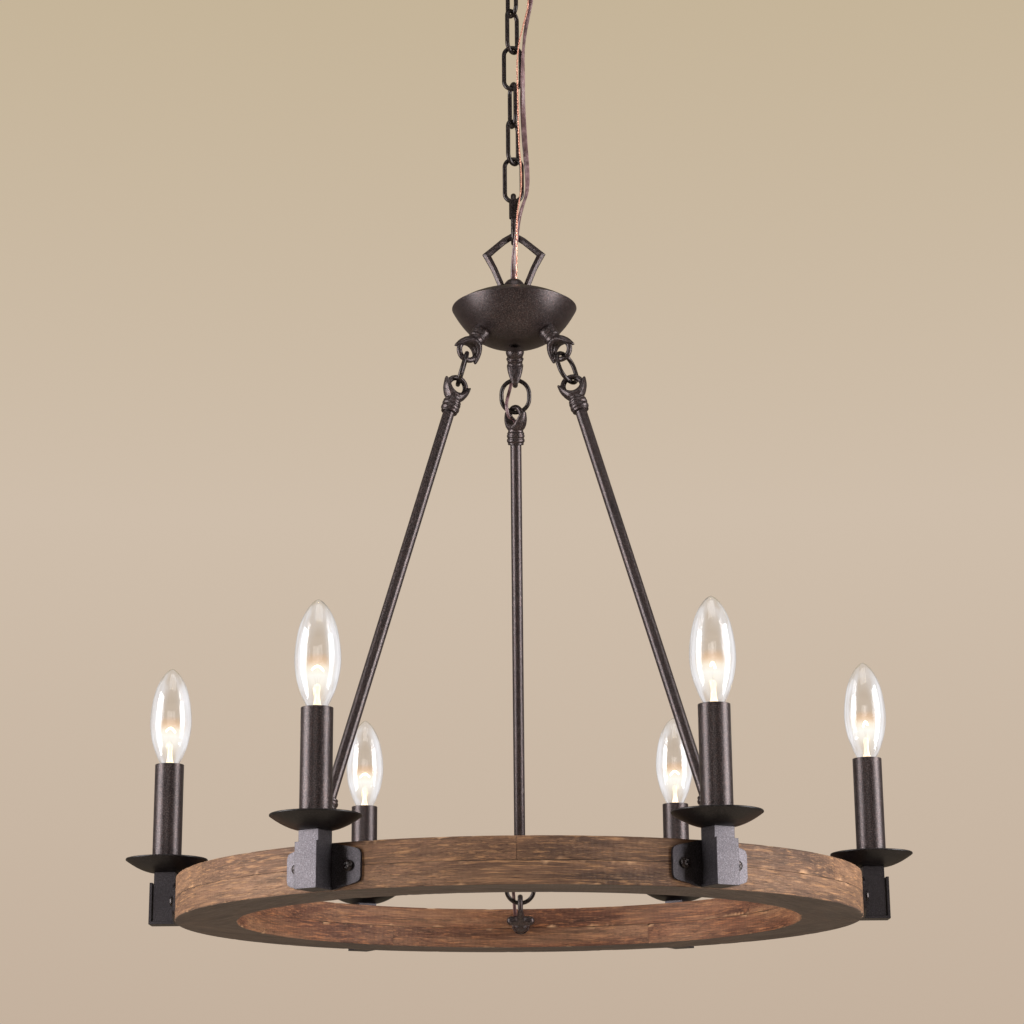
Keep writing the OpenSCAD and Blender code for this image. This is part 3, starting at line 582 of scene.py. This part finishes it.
def sweep_rings(path, section, turn):
    """Rings of points round a path in mm; the section turns by turn degrees per mm."""
    pts = [Vector(p) for p in path]
    m = len(pts)
    tan = [(pts[min(m - 1, i + 1)] - pts[max(0, i - 1)]).normalized() for i in range(m)]
    x = Vector((1, 0, 0))
    x = (x - tan[0] * x.dot(tan[0])).normalized()
    rings, s = [], 0.0
    for i in range(m):
        if i:
            s += (pts[i] - pts[i - 1]).length
            x = (x - tan[i] * x.dot(tan[i])).normalized()
        y = tan[i].cross(x)
        a = math.radians(turn * s)
        ca, sa = math.cos(a), math.sin(a)
        ring = []
        for u, v in section:
            uu, vv = u * ca - v * sa, u * sa + v * ca
            q = pts[i] + x * uu + y * vv
            ring.append((q.x * MM, q.y * MM, H(q.z)))
        rings.append(ring)
    return rings


def skin(name, rings, smooth=70):
    n = len(rings[0])
    verts = [v for r in rings for v in r]
    faces = []
    for i in range(len(rings) - 1):
        for j in range(n):
            k = (j + 1) % n
            faces.append((i * n + j, i * n + k, (i + 1) * n + k, (i + 1) * n + j))
    faces.append(tuple(range(n - 1, -1, -1)))
    faces.append(tuple((len(rings) - 1) * n + j for j in range(n)))
    return new_object(name, verts, faces, smooth)


JOINTS = [("ceiling", "chain_link_1", 854.9), ("chain_link_1", "chain_link_2", 818.85), ("chain_link_2", "chain_link_3", 782.45),
          ("chain_link_3", "chain_link_4", 746.05), ("chain_link_4", "chain_link_5", 709.65), ("chain_link_5", "chain_link_6", 673.25),
          ("chain_link_6", "quick_link", 636.85), ("quick_link", "hub", 597.7)]


def woven(name, route, section, turn, material_, replaced):
    line = smooth_line(route, 6)
    cuts = [900] + [0.5 * (a[2] + b[2]) for a, b in zip(JOINTS, JOINTS[1:])] + [552]
    rings = sweep_rings(line, section, turn)
    index = [min(range(len(line)), key=lambda i: abs(line[i][2] - c)) for c in cuts]
    # at the quick link's upper end the cord is parted at the joint: the blends on both sides reach up to it
    at = min(range(len(line)), key=lambda i: abs(line[i][2] - 636.85))
    for k, (upper, lower, h) in enumerate(JOINTS):
        if upper == "chain_link_6":
            continue
        hi, lo = (at if upper == "quick_link" else index[k]), (at if lower == "chain_link_6" else index[k + 1])
        o = skin("%s_%d" % (name, k + 1), rings[lo:hi + 1])
        o.data.materials.append(material_)
        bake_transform(o)
        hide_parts(replaced)
        part = line[lo:hi + 1]
        part = part[::-1]


woven("supply_cord_run", SUPPLY, twin_section(5.0, 2.6), 1.1, CORD, "supply_cord")
woven("ground_wire_run", GROUND, round_section(1.3, 12, 4), 9.0, COPPER, "ground_wire")

line = smooth_line(FEED, 6)
feed = skin("feed_cord_run", sweep_rings(line, round_section(3.0, 12), 0))
feed.data.materials.append(CORD)
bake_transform(feed)
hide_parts("feed_cord")

line = smooth_line(RIM_FEED, 6)
rings = sweep_rings(line, round_section(3.0, 12), 0)
for label, body, lo, hi in (("rim_feed_upper", "rear_rod", 0, 24), ("rim_feed_run", "wheel", 24, len(line) - 1)):
    piece = finish_piece(skin(label, rings[lo:hi + 1]), body, CORD, ["rim_feed_cord"])


def groove_wires():
    verts, faces = [], []
    for k, (r0, h0) in enumerate(((263.6, 31.2), (266.3, 31.4), (264.9, 33.3))):
        steps, n = 240, 8
        base = len(verts)
        for i in range(steps):
            t = 2 * math.pi * i / steps
            rr = r0 + 0.35 * math.sin(5 * t + k * 2.1) + 0.25 * math.sin(13 * t + k)
            hh = h0 + 0.3 * math.sin(7 * t + k * 1.7)
            for j in range(n):
                u = 2 * math.pi * j / n
                q = rr + 1.05 * math.cos(u)
                verts.append((q * math.cos(t) * MM, q * math.sin(t) * MM, H(hh + 1.05 * math.sin(u))))
        for i in range(steps):
            a, b = base + i * n, base + ((i + 1) % steps) * n
            for j in range(n):
                l = (j + 1) % n
                faces.append((a + j, a + l, b + l, b + j))
    o = new_object("rim_wires", verts, faces, 180)
    return finish_piece(o, "wheel", CORD, ["rim_feed_cord"])


groove_wires()


# ---------------------------------------------------------------- wooden rim
def board_ring(name, node_name, h0, h1, start, groove):
    ri, ro = 230.0, 280.5
    if groove:
        outline = [(ri, h0), (ro, h0), (ro, h1), (268.5, h1), (268.5, h1 - 6), (261.5, h1 - 6), (261.5, h1), (ri, h1)]
        radii = [0.45, 0.45, 1.1, 0.35, 0.3, 0.3, 0.35, 1.0]
    else:
        outline = [(ri, h0), (ro, h0), (ro, h1), (ri, h1)]
        radii = [1.0, 1.1, 0.45, 0.45]
    prof = rounded(outline, radii)
    dense = []
    for i, p in enumerate(prof):
        q = prof[(i + 1) % len(prof)]
        d = math.hypot(q[0] - p[0], q[1] - p[1])
        k = max(1, int(d / 3.2))
        dense += [(p[0] + (q[0] - p[0]) * j / k, p[1] + (q[1] - p[1]) * j / k) for j in range(k)]
    verts, faces, grain, wear = [], [], [], []
    n = len(dense)
    steps = 96
    half_gap = math.degrees(0.10 / 255)
    for k in range(6):
        a0 = start + 60 * k
        mid = math.radians(a0 + 30)
        off = (random.uniform(-4, 4), random.uniform(-4, 4), random.uniform(-4, 4))
        tilt = random.uniform(-0.05, 0.05)
        base = len(verts)
        for i in range(steps + 1):
            t = math.radians(a0 + half_gap + (60 - 2 * half_gap) * i / steps)
            # position (sin, -cos) so that angles run from the front as in the CAD
            st, ct = math.sin(t), -math.cos(t)
            for r, h in dense:
                p = Vector((r * st, r * ct, h))
                # hand-worn surface: shallow waves, and small chips along the outer edges
                near_edge = min(abs(r - ro) + abs(h - h1), abs(r - ri) + abs(h - h1), abs(r - ro) + abs(h - h0), abs(r - ri) + abs(h - h0))
                wv = noise.noise(Vector((p.x * 0.03 + off[0], p.y * 0.03, h * 0.12))) * 0.10
                chip = 0.0
                if near_edge < 1.6:
                    c1 = noise.noise(Vector((p.x * 0.075 + off[1], p.y * 0.075, h * 0.2 + off[2])))
                    c2 = noise.noise(Vector((p.x * 0.30, p.y * 0.30 + off[0], h * 0.5)))
                    chip = max(0.0, c1 - 0.16) * 2.6 * (0.6 + c2) * (1.6 - near_edge) / 1.6
                inward = -1 if r > 255 else 1
                face_r = abs(r - ro) < 1.3 or abs(r - ri) < 1.3
                rr = r + (inward * max(0.0, wv + 0.08) if face_r else 0) + inward * chip
                hh = h + (-1 if h > (h0 + h1) / 2 else 1) * chip * 0.8
                verts.append((rr * st * MM, rr * ct * MM, H(hh)))
                x_along = (p.x * math.cos(mid) + p.y * math.sin(mid)) * MM
                y_across = (p.x * math.sin(mid) - p.y * math.cos(mid)) * MM
                rub = max(0.0, 1 - near_edge / 0.9) * max(0.0, noise.noise(Vector((p.x * 0.05, p.y * 0.05 + off[2], h * 0.1))) * 1.6 - 0.1)
                wear.append(min(1.0, chip * 1.1 + rub * 0.7))
                grain.append((x_along + off[0], y_across + tilt * x_along + off[1], h * MM + 0.3 * tilt * x_along + off[2]))
        for i in range(steps):
            for j in range(n):
                l = (j + 1) % n
                a, b = base + i * n, base + (i + 1) * n
                faces.append((a + j, a + l, b + l, b + j))
        faces.append(tuple(base + j for j in range(n - 1, -1, -1)))
        faces.append(tuple(base + steps * n + j for j in range(n)))
    o = new_object(name, verts, faces, 42)
    g = o.data.attributes.new("grain", "FLOAT_VECTOR", "POINT")
    g.data.foreach_set("vector", [x for v in grain for x in v])
    g = o.data.attributes.new("wear", "FLOAT", "POINT")
    g.data.foreach_set("value", wear)
    bm = bmesh.new()
    bm.from_mesh(o.data)
    bmesh.ops.recalc_face_normals(bm, faces=bm.faces)
    bm.to_mesh(o.data)
    bm.free()
    return finish_piece(o, "wheel", WOOD, [node_name])


board_ring("rim_boards_upper", "rim_upper_layer", 17.53, 35.0, 0, True)
board_ring("rim_boards_lower", "rim_lower_layer", 0.0, 17.47, 30, False)


# ---------------------------------------------------------------- turned and spun pieces
def bowl_z(r):
    return 535 - 34 * (1 - (r / 54.8) ** 3)


def dome_z(r):
    return 535 + 15 * (1 - (r / 54.8) ** 2.6)


def spun_hub():
    rs = [4.9 + (54.8 - 4.9) * (1 - (1 - i / 44) ** 1.5) for i in range(45)]
    out = [(r, bowl_z(r)) for r in rs]
    inn = [(4.9 + (r - 4.9) * (53.1 - 4.9) / 49.9, 535 - 32.4 * (1 - ((4.9 + (r - 4.9) * (53.1 - 4.9) / 49.9) / 53.1) ** 3)) for r in rs[::-1]]
    lip = [(54.75, 535.25), (54.3, 535.5), (53.6, 535.35)]
    o = lathes("hub_bowl_spun", out + lip + inn, 128, [(0, 0)], 50)
    cv, cf = [], []
    lean_back = Matrix.Translation((0, 46 * MM, H(521.5))) @ Matrix.Rotation(math.radians(21), 4, "X")
    for z in (-7, 7):
        cv += [tuple(lean_back @ Vector((2.6 * math.cos(2 * math.pi * j / 32) * MM, 2.6 * math.sin(2 * math.pi * j / 32) * MM, z * MM))) for j in range(32)]
    cf = [(j, (j + 1) % 32, 32 + (j + 1) % 32, 32 + j) for j in range(32)] + [tuple(range(31, -1, -1)), tuple(range(32, 64))]
    drill = new_object("bowl_drill", cv, cf)
    d = o.modifiers.new("d", "BOOLEAN")
    d.operation = "DIFFERENCE"
    d.solver = "EXACT"
    d.object = drill
    me = bpy.data.meshes.new_from_object(o.evaluated_get(bpy.context.evaluated_depsgraph_get()))
    o.modifiers.clear()
    o.data = me
    me.polygons.foreach_set("use_smooth", [True] * len(me.polygons))
    me.set_sharp_from_angle(angle=math.radians(50))
    bpy.data.objects.remove(drill)
    finish_piece(o, "hub", BRONZE, ["hub_bowl"])
    top = [(r, dome_z(r)) for r in rs[:-1]] + [(54.5, 535.35), (54.0, 535.2)]
    und = [(4.9 + (r - 4.9) * 0.95, dome_z(r) - 1.3) for r in rs[::-1]]
    und = [(r, min(h, 600)) for r, h in und if r < 52.5]
    o = lathes("hub_cover_spun", top + und, 128, [(0, 0)], 50)
    finish_piece(o, "hub", BRONZE, ["hub_cover"])


spun_hub()


def pans():
    pr = 33.75
    base = 43.25

    def z(r):
        return base + 10.4 * (max(0, r - 9) / (pr - 9)) ** 1.75

    rs = [9 + (pr - 9) * i / 30 for i in range(31)]
    out = [(4.9, base)] + [(r, z(r)) for r in rs]
    lip = [(pr + 0.05, z(pr) + 0.55), (pr - 0.25, z(pr) + 1.05)]
    inn = [(r - 0.35, z(r) + 1.1) for r in rs[-2::-1]] + [(4.9, base + 1.1)]
    o = lathes("drip_pans_spun", out + lip + inn, 96, CENTRES, 50)
    finish_piece(o, "wheel", PAN, ["drip_pans"])


pans()


def covers():
    out = rounded([(11.2, 46.1), (12, 46.1), (12, 133.4), (11.2, 133.4)], [0.1, 0.25, 0.3, 0.3])
    o = lathes("candle_covers_drawn", out, 72, CENTRES, 40)
    finish_piece(o, "wheel", BRONZE, ["candle_covers"])


covers()


def canopy():
    cd, depth, hc = 63.5, 34.0, 886.0

    def z(r):
        return depth * 0.86 * (max(0, r - 20) / (cd - 20)) ** 2.4

    rs = [20 + (cd - 20) * (1 - (1 - i / 30) ** 1.6) for i in range(31)]
    out = [(13, hc)] + [(r, hc + z(r)) for r in rs] + [(cd, hc + depth - 0.02), (cd - 1.4, hc + depth - 0.02)]
    inn = [(20 + (cd - 21.4) * (1 - (1 - i / 30) ** 1.6) - 0.3, hc + z(20 + (cd - 20) * (1 - (1 - i / 30) ** 1.6)) * 0.96 + 1.3) for i in range(30, -1, -1)]
    o = lathes("canopy_spun", out + inn + [(13, hc + 1.3)], 128, [(0, 0)], 40)
    finish_piece(o, "canopy", BRONZE, ["canopy"])


canopy()


# ---------------------------------------------------------------- cast pieces
def solid_rings(verts, faces, rings):
    """A closed body over rings of equally many points."""
    n = len(rings[0])
    b = len(verts)
    for r in rings:
        verts.extend(r)
    for i in range(len(rings) - 1):
        for j in range(n):
            k = (j + 1) % n
            faces.append((b + i * n + j, b + i * n + k, b + (i + 1) * n + k, b + (i + 1) * n + j))
    faces.append(tuple(b + j for j in range(n - 1, -1, -1)))
    faces.append(tuple(b + (len(rings) - 1) * n + j for j in range(n)))


def turned(verts, faces, profile, n=40):
    """A body turned about local z; the profile runs from axis to axis."""
    solid_rings(verts, faces, [[(max(r, 0.02) * math.cos(2 * math.pi * j / n), max(r, 0.02) * math.sin(2 * math.pi * j / n), z) for j in range(n)]
                               for r, z in profile])


def table(rows, x):
    for (x0, *a), (x1, *b) in zip(rows, rows[1:]):
        if x <= x1:
            t = (x - x0) / (x1 - x0)
            t = max(0.0, min(1.0, t))
            return [p + (q - p) * t for p, q in zip(a, b)]
    return list(rows[-1][1:])


EYE_C, EYE_WIRE, EYE_LEN = 8.4, 2.4, 25.5
# angle from the collar, inner radius, outer radius, half width
LEAF = [(-16, 6.3, 14.4, 7.4), (0, 6.3, 14.6, 7.4), (24, 6.3, 14.4, 7.2), (40, 6.4, 13.3, 6.9), (58, 6.6, 12.4, 6.3), (76, 7.0, 12.3, 5.5),
        (90, 7.6, 12.5, 4.7), (99, 8.5, 12.9, 4.0), (106, 10.0, 13.4, 3.2), (110, 11.6, 13.5, 2.2), (112, 12.5, 13.4, 1.2)]


def cast_eye(name, ball):
    """One cast eye in its own millimetres: two leaves that grow from the collar and clasp a ring, ending in barbs."""
    verts, faces = [], []
    rings = []
    for i in range(65):
        t = 2 * math.pi * i / 64
        rings.append([((EYE_WIRE * math.sin(u)), (EYE_C + EYE_WIRE * math.cos(u)) * math.sin(t), EYE_LEN - (EYE_C + EYE_WIRE * math.cos(u)) * math.cos(t))
                      for u in [2 * math.pi * j / 20 for j in range(20)]])
    b = len(verts)
    for r in rings[:-1]:
        verts.extend(r)
    for i in range(64):
        for j in range(20):
            k = (j + 1) % 20
            faces.append((b + i * 20 + j, b + i * 20 + k, b + ((i + 1) % 64) * 20 + k, b + ((i + 1) % 64) * 20 + j))
    for s in (-1, 1):
        rings = []
        for i in range(65):
            a = -16 + 128 * i / 64
            r_in, r_out, w = table(LEAF, a)
            t = r_out - r_in
            sec = [(r_in, -0.72 * w), (r_in, 0.72 * w), (r_in + 0.18 * t, 0.92 * w), (r_in + 0.42 * t, w), (r_out - 0.26 * t, 0.80 * w),
                   (r_out - 0.08 * t, 0.36 * w), (r_out, 0.0), (r_out - 0.08 * t, -0.36 * w), (r_out - 0.26 * t, -0.80 * w), (r_in + 0.42 * t, -w),
                   (r_in + 0.18 * t, -0.92 * w)]
            ca, sa = math.cos(math.radians(a)), math.sin(math.radians(a))
            rings.append([(x, s * r * sa, EYE_LEN - r * ca) for r, x in sec])
        solid_rings(verts, faces, rings)
    if ball:
        turned(verts, faces, [(0, 0.3), (7.7, 0.3), (8.05, 1.5), (8.2, 3.1), (8.0, 4.9), (7.35, 6.7), (6.8, 8.0), (6.7, 8.9), (7.6, 9.1), (7.8, 9.4),
                              (7.8, 10.2), (7.5, 10.6), (7.0, 11.2), (6.6, 14), (0, 14)])
        turned(verts, faces, [(0, -8.9), (2.7, -8.9), (3, -8.5), (3, 2), (0, 2)], 24)
    else:
        turned(verts, faces, [(0, 0.05), (6.6, 0.05), (7.1, 0.5), (7.1, 1.6), (6.5, 2.1), (7.4, 2.5), (8, 3.3), (8, 5.1), (7.4, 5.9), (6.6, 6.3),
                              (7.4, 6.7), (8, 7.5), (8, 8.9), (7.4, 9.7), (6.7, 10.1), (7.8, 10.4), (7.8, 10.9), (7.0, 11.4), (6.6, 14), (0, 14)])
    src = new_object(name + "_src", [(x * MM, y * MM, z * MM) for x, y, z in verts], faces)
    bm = bmesh.new()
    bm.from_mesh(src.data)
    bmesh.ops.recalc_face_normals(bm, faces=bm.faces)
    bm.to_mesh(src.data)
    bm.free()
    r = src.modifiers.new("r", "REMESH")
    r.mode = "VOXEL"
    r.voxel_size = 0.46 * MM
    s = src.modifiers.new("s", "SMOOTH")
    s.factor = 0.5
    s.iterations = 2
    drill = None
    if not ball:
        cv, cf = [], []
        solid_rings(cv, cf, [[(rr * math.cos(2 * math.pi * j / 32) * MM, rr * math.sin(2 * math.pi * j / 32) * MM, z * MM) for j in range(32)]
                             for rr, z in ((5.05, -1), (5.05, 7.5), (2.0, 7.52), (2.0, 22))])
        drill = new_object(name + "_drill", cv, cf)
        d = src.modifiers.new("d", "BOOLEAN")
        d.operation = "DIFFERENCE"
        d.solver = "EXACT"
        d.object = drill
    dg = bpy.context.evaluated_depsgraph_get()
    me = bpy.data.meshes.new_from_object(src.evaluated_get(dg))
    bpy.data.objects.remove(src)
    if drill:
        bpy.data.objects.remove(drill)
    me.polygons.foreach_set("use_smooth", [True] * len(me.polygons))
    return me


def rx(a):
    return Matrix.Rotation(math.radians(a), 4, "X")


def mm_move(x, y, z):
    return Matrix.Translation((x * MM, y * MM, z * MM))


def placed(name, template, matrices):
    bm = bmesh.new()
    for mat in matrices:
        part = template.copy()
        part.transform(mat)
        bm.from_mesh(part)
        bpy.data.meshes.remove(part)
    me = bpy.data.meshes.new(name)
    bm.to_mesh(me)
    bm.free()
    o = bpy.data.objects.new(name, me)
    scene.collection.objects.link(o)
    me.polygons.foreach_set("use_smooth", [True] * len(me.polygons))
    me.set_sharp_from_angle(angle=math.radians(60))
    return o


def along(s):
    return 46.5 + 0.3030 * s, 488.7 - 0.9530 * s


HUB_EYE = cast_eye("hub_eye", True)
ROD_EYE = cast_eye("rod_eye", False)
o = placed("hub_eyes_cast", HUB_EYE, [az_matrix(a) @ mm_move(0, -46.5, 488.7 - 920) @ rx(145) @ mm_move(0, 0, -EYE_LEN) for a in RODS])
finish_piece(o, "hub", BRONZE, ["hub_eyes"])
for side, a, t_top, t_low in (("left", -60, 0, -50), ("right", 60, 20, 60), ("rear", 180, 40, 20)):
    p, q = along(36.4), along(442.3)
    o = placed(side + "_rod_eyes_cast", ROD_EYE,
               [az_matrix(a) @ mm_move(0, -p[0], p[1] - 920) @ rx(-17.64) @ az_matrix(t_top) @ mm_move(0, 0, -EYE_LEN),
                az_matrix(a) @ mm_move(0, -q[0], q[1] - 920) @ rx(180 - 17.64) @ az_matrix(t_low) @ mm_move(0, 0, -EYE_LEN)])
    finish_piece(o, side + "_rod", BRONZE, [side + "_rod_eyes"])
bpy.data.meshes.remove(HUB_EYE)
bpy.data.meshes.remove(ROD_EYE)


APEX, BAR = 600.4, 5.5


def hub_loop():
    """Kite of square bar set on edge, on its turned boss."""
    ap = APEX
    outer = [(0, ap + 7), (10, ap + 1.1), (19, ap - 6.6), (27.9, 586.2), (20.4, 572.2), (14.6, 557.6), (11.5, 550.3)]
    inner = [(0, ap + 1.0), (8, ap - 4.43), (15, ap - 10.6), (20.2, 585.0), (14.6, 573.2), (9.4, 560), (6.0, 550.3)]
    half = BAR / 2
    verts, faces, rings = [], [], []
    line = [(-x, z, -u, w) for (x, z), (u, w) in zip(outer[::-1], inner[::-1])] + [(x, z, u, w) for (x, z), (u, w) in zip(outer[1:], inner[1:])]
    dense = []
    for k, (p, q) in enumerate(zip(line, line[1:])):
        m = 5
        for j in range(m):
            t = j / m
            dense.append([a + (b - a) * t for a, b in zip(p, q)])
    dense.append(list(line[-1]))
    sec = [(1, 0.30), (0.92, 0.46), (0.14, 1.0), (-0.14, 1.0), (-0.92, 0.46), (-1, 0.30), (-1, -0.30), (-0.92, -0.46), (-0.14, -1.0), (0.14, -1.0),
           (0.92, -0.46), (1, -0.30)]
    for xo, zo, xi, zi in dense:
        cx, cz = (xo + xi) / 2, (zo + zi) / 2
        rings.append([((cx + (xo - cx) * u) * MM, half * v * MM, H(cz + (zo - cz) * u)) for u, v in sec])
    solid_rings(verts, faces, rings)
    v2, f2 = lathe_data(rounded([(4.85, 550.1), (10.4, 550.1), (10.6, 552), (10, 555.4), (8.6, 558.6), (6.6, 561), (5.2, 562), (4.2, 562),
                                 (4.2, 557), (4.85, 557)], [0, 0.3, 0.6, 0.8, 0.8, 0.6, 0.4, 0.2, 0, 0]), 64)
    b = len(verts)
    verts += v2
    faces += [tuple(i + b for i in f) for f in f2]
    o = new_object("hub_loop_bent", verts, faces, 28)
    bm = bmesh.new()
    bm.from_mesh(o.data)
    bmesh.ops.recalc_face_normals(bm, faces=bm.faces)
    bm.to_mesh(o.data)
    bm.free()
    finish_piece(o, "hub", BRONZE, ["hub_loop"])


hub_loop()
finish_piece(cast("rim_eye_bolts_cast", "rim_eye_bolts", 0.55, 5), "wheel", BRONZE, ["rim_eye_bolts"])
for name, width in (("rim_brackets", 0.45), ("candle_posts", 0.5)):
    N[name].data.materials.clear()
    N[name].data.materials.append(BRACKET)
    bev = N[name].modifiers.new("edges", "BEVEL")
    bev.width = width * MM
    bev.segments = 3
    bev.limit_method = "ANGLE"
    bev.angle_limit = math.radians(50)
    bev.harden_normals = True


# ---------------------------------------------------------------- lamps
GLASS_LINE = [(0.355, 0), (0.364, 0.028), (0.462, 0.068), (0.561, 0.109), (0.653, 0.152), (0.792, 0.225), (0.902, 0.306),
              (0.971, 0.387), (1, 0.46), (0.988, 0.537), (0.948, 0.615), (0.884, 0.693), (0.792, 0.769), (0.682, 0.832),
              (0.543, 0.89), (0.399, 0.936), (0.254, 0.971), (0.127, 0.992), (0.04, 1)]
BR, NECK, TIP = 17.3, 128.6, 215.0


def bulb(i, c):
    body = "bulb_%d" % (i + 1)
    line = [(r * BR, NECK + h * (TIP - NECK)) for r, h in smooth_line(GLASS_LINE, 4)]
    out = line + [(0, TIP + 0.0)]
    inn = [(0, TIP - 1.6)] + [(max(0.25, r - 0.75), h - 0.5 * (h - NECK) / (TIP - NECK)) for r, h in line[::-1]]
    o = lathes(body + "_envelope", out + inn, 72, [c], 180)
    finish_piece(o, body, GLASS, [body + "_glass"])
    # screw base
    prof = [(0, 108.5), (1.6, 108.5), (2.4, 109), (2.8, 110.6), (4.4, 112)]
    h = 113.0
    while h < 126.0:
        prof += [(5.35, h), (5.72, h + 0.45), (5.92, h + 0.9), (5.72, h + 1.35)]
        h += 1.8
    prof += [(5.6, 127.4), (5.95, 128.0), (5.9, 128.5), (5.0, 128.5), (5.0, 129.8), (0, 130.4)]
    o = lathes(body + "_screw_base", prof, 48, [c], 50)
    finish_piece(o, body, BRASS, [body + "_base"])
    # glass stem with its flare, press and bead
    stem = [(0, 130.5), (4.9, 130.5), (4.4, 132.5), (3.0, 136), (2.2, 140), (1.9, 145), (2.3, 148), (2.0, 150), (0.8, 151.4), (0, 151.6)]
    o = lathes(body + "_stem", smooth_line(stem, 3), 32, [c], 180)
    finish_piece(o, body, STEM_PAINTED_GLOW)
    # filament on its lead wires
    verts, faces = [], []
    turn = math.radians(25 + 40 * i)
    ux, uy = math.cos(turn), math.sin(turn)

    def wire(points, d, n=6):
        rings = sweep_rings(points, round_section(d, n), 0)
        b = len(verts)
        for r in rings:
            verts.extend(r)
        for k in range(len(rings) - 1):
            for j in range(n):
                l = (j + 1) % n
                faces.append((b + k * n + j, b + k * n + l, b + (k + 1) * n + l, b + (k + 1) * n + j))
        faces.append(tuple(b + j for j in range(n - 1, -1, -1)))
        faces.append(tuple(b + (len(rings) - 1) * n + j for j in range(n)))

    cx, cy = c
    for s in (-1, 1):
        wire(smooth_line([(cx + s * 0.9 * ux, cy + s * 0.9 * uy, 149), (cx + s * 1.8 * ux, cy + s * 1.8 * uy, 154),
                          (cx + s * 4.6 * ux, cy + s * 4.6 * uy, 161.5)], 4), 0.45)
    wire([(cx, cy, 150.5), (cx, cy, 157), (cx, cy, 164.2)], 0.35)
    o = new_object(body + "_leads", list(verts), list(faces), 60)
    finish_piece(o, body, ZINC)
    verts.clear()
    faces.clear()
    pts = []
    turns = 26
    for k in range(turns * 8 + 1):
        t = k / (turns * 8)
        s = -4.6 + 9.2 * t
        z0 = 161.5 + 3.0 * math.sin(math.pi * t)
        a = 2 * math.pi * turns * t
        pts.append((cx + s * ux - 0.75 * math.cos(a) * uy, cy + s * uy + 0.75 * math.cos(a) * ux, z0 + 0.75 * math.sin(a)))
    wire(pts, 0.42, 5)
    o = new_object(body + "_filament", list(verts), list(faces), 180)
    finish_piece(o, body, FILAMENT)


for i, c in enumerate(CENTRES):
    bulb(i, c)


# ---------------------------------------------------------------- floor, background and light
def floor():
    o = new_object("floor", [(-9, -9, 0), (9, -9, 0), (9, 9, 0), (-9, 9, 0)], [(0, 1, 2, 3)])
    o.location.z = -2.7
    m, nt, b = material("floor")
    v = coords(nt)
    c = ramp(nt, noise_of(nt, v, 3, 3), [(0.3, srgb(206, 192, 174)), (0.7, srgb(212, 199, 182))])
    nt.links.new(c, b.inputs["Base Color"])
    b.inputs["Roughness"].default_value = 0.85
    o.data.materials.append(m)


floor()

world = bpy.data.worlds.new("studio")
scene.world = world
world.use_nodes = True
nt = world.node_tree
nt.nodes.clear()
wout = nt.nodes.new("ShaderNodeOutputWorld")
bg = nt.nodes.new("ShaderNodeBackground")
tc = nt.nodes.new("ShaderNodeTexCoord")
sep = nt.nodes.new("ShaderNodeSeparateXYZ")
nt.links.new(tc.outputs["Generated"], sep.inputs[0])
cr = nt.nodes.new("ShaderNodeValToRGB")
cr.color_ramp.elements[0].position = 0.05
cr.color_ramp.elements[0].color = srgb(196, 177, 158)
cr.color_ramp.elements[1].position = 0.47
cr.color_ramp.elements[1].color = srgb(197, 180, 152)
e = cr.color_ramp.elements.new(0.26)
e.color = srgb(207, 190, 171)
nt.links.new(sep.outputs[2], cr.inputs[0])
nt.links.new(cr.outputs[0], bg.inputs[0])
# the wall is seen at full strength; on the part it acts as a dim surround, so that the softboxes shape the metal
seen = nt.nodes.new("ShaderNodeLightPath")
either = calc(nt, "MAXIMUM", seen.outputs["Is Camera Ray"], seen.outputs["Is Transmission Ray"])
nt.links.new(calc(nt, "ADD", calc(nt, "MULTIPLY", either, 0.68), 0.32), bg.inputs[1])
nt.links.new(bg.outputs[0], wout.inputs[0])


def softbox(name, az, dist, height, w, h, power, colour=(1, 1, 1)):
    l = bpy.data.lights.new(name, "AREA")
    l.shape = "RECTANGLE"
    l.size = w
    l.size_y = h
    l.energy = power
    l.color = colour
    o = bpy.data.objects.new(name, l)
    a = math.radians(az)
    o.location = (dist * math.sin(a), -dist * math.cos(a), height)
    target = Vector((0, 0, -0.72))
    o.rotation_euler = (target - Vector(o.location)).to_track_quat("-Z", "Y").to_euler()
    scene.collection.objects.link(o)
    o.visible_camera = False
    return o


softbox("softbox_left", -70, 2.1, -0.62, 1.25, 2.1, 92, (1.0, 0.985, 0.98))
softbox("softbox_right", 72, 2.1, -0.62, 1.15, 2.1, 98, (1.0, 0.985, 0.98))
softbox("fill_top", 5, 1.0, 1.3, 1.6, 1.6, 15)
softbox("fill_front", -8, 3.0, -0.35, 1.3, 1.3, 9, (1.0, 0.97, 0.93))
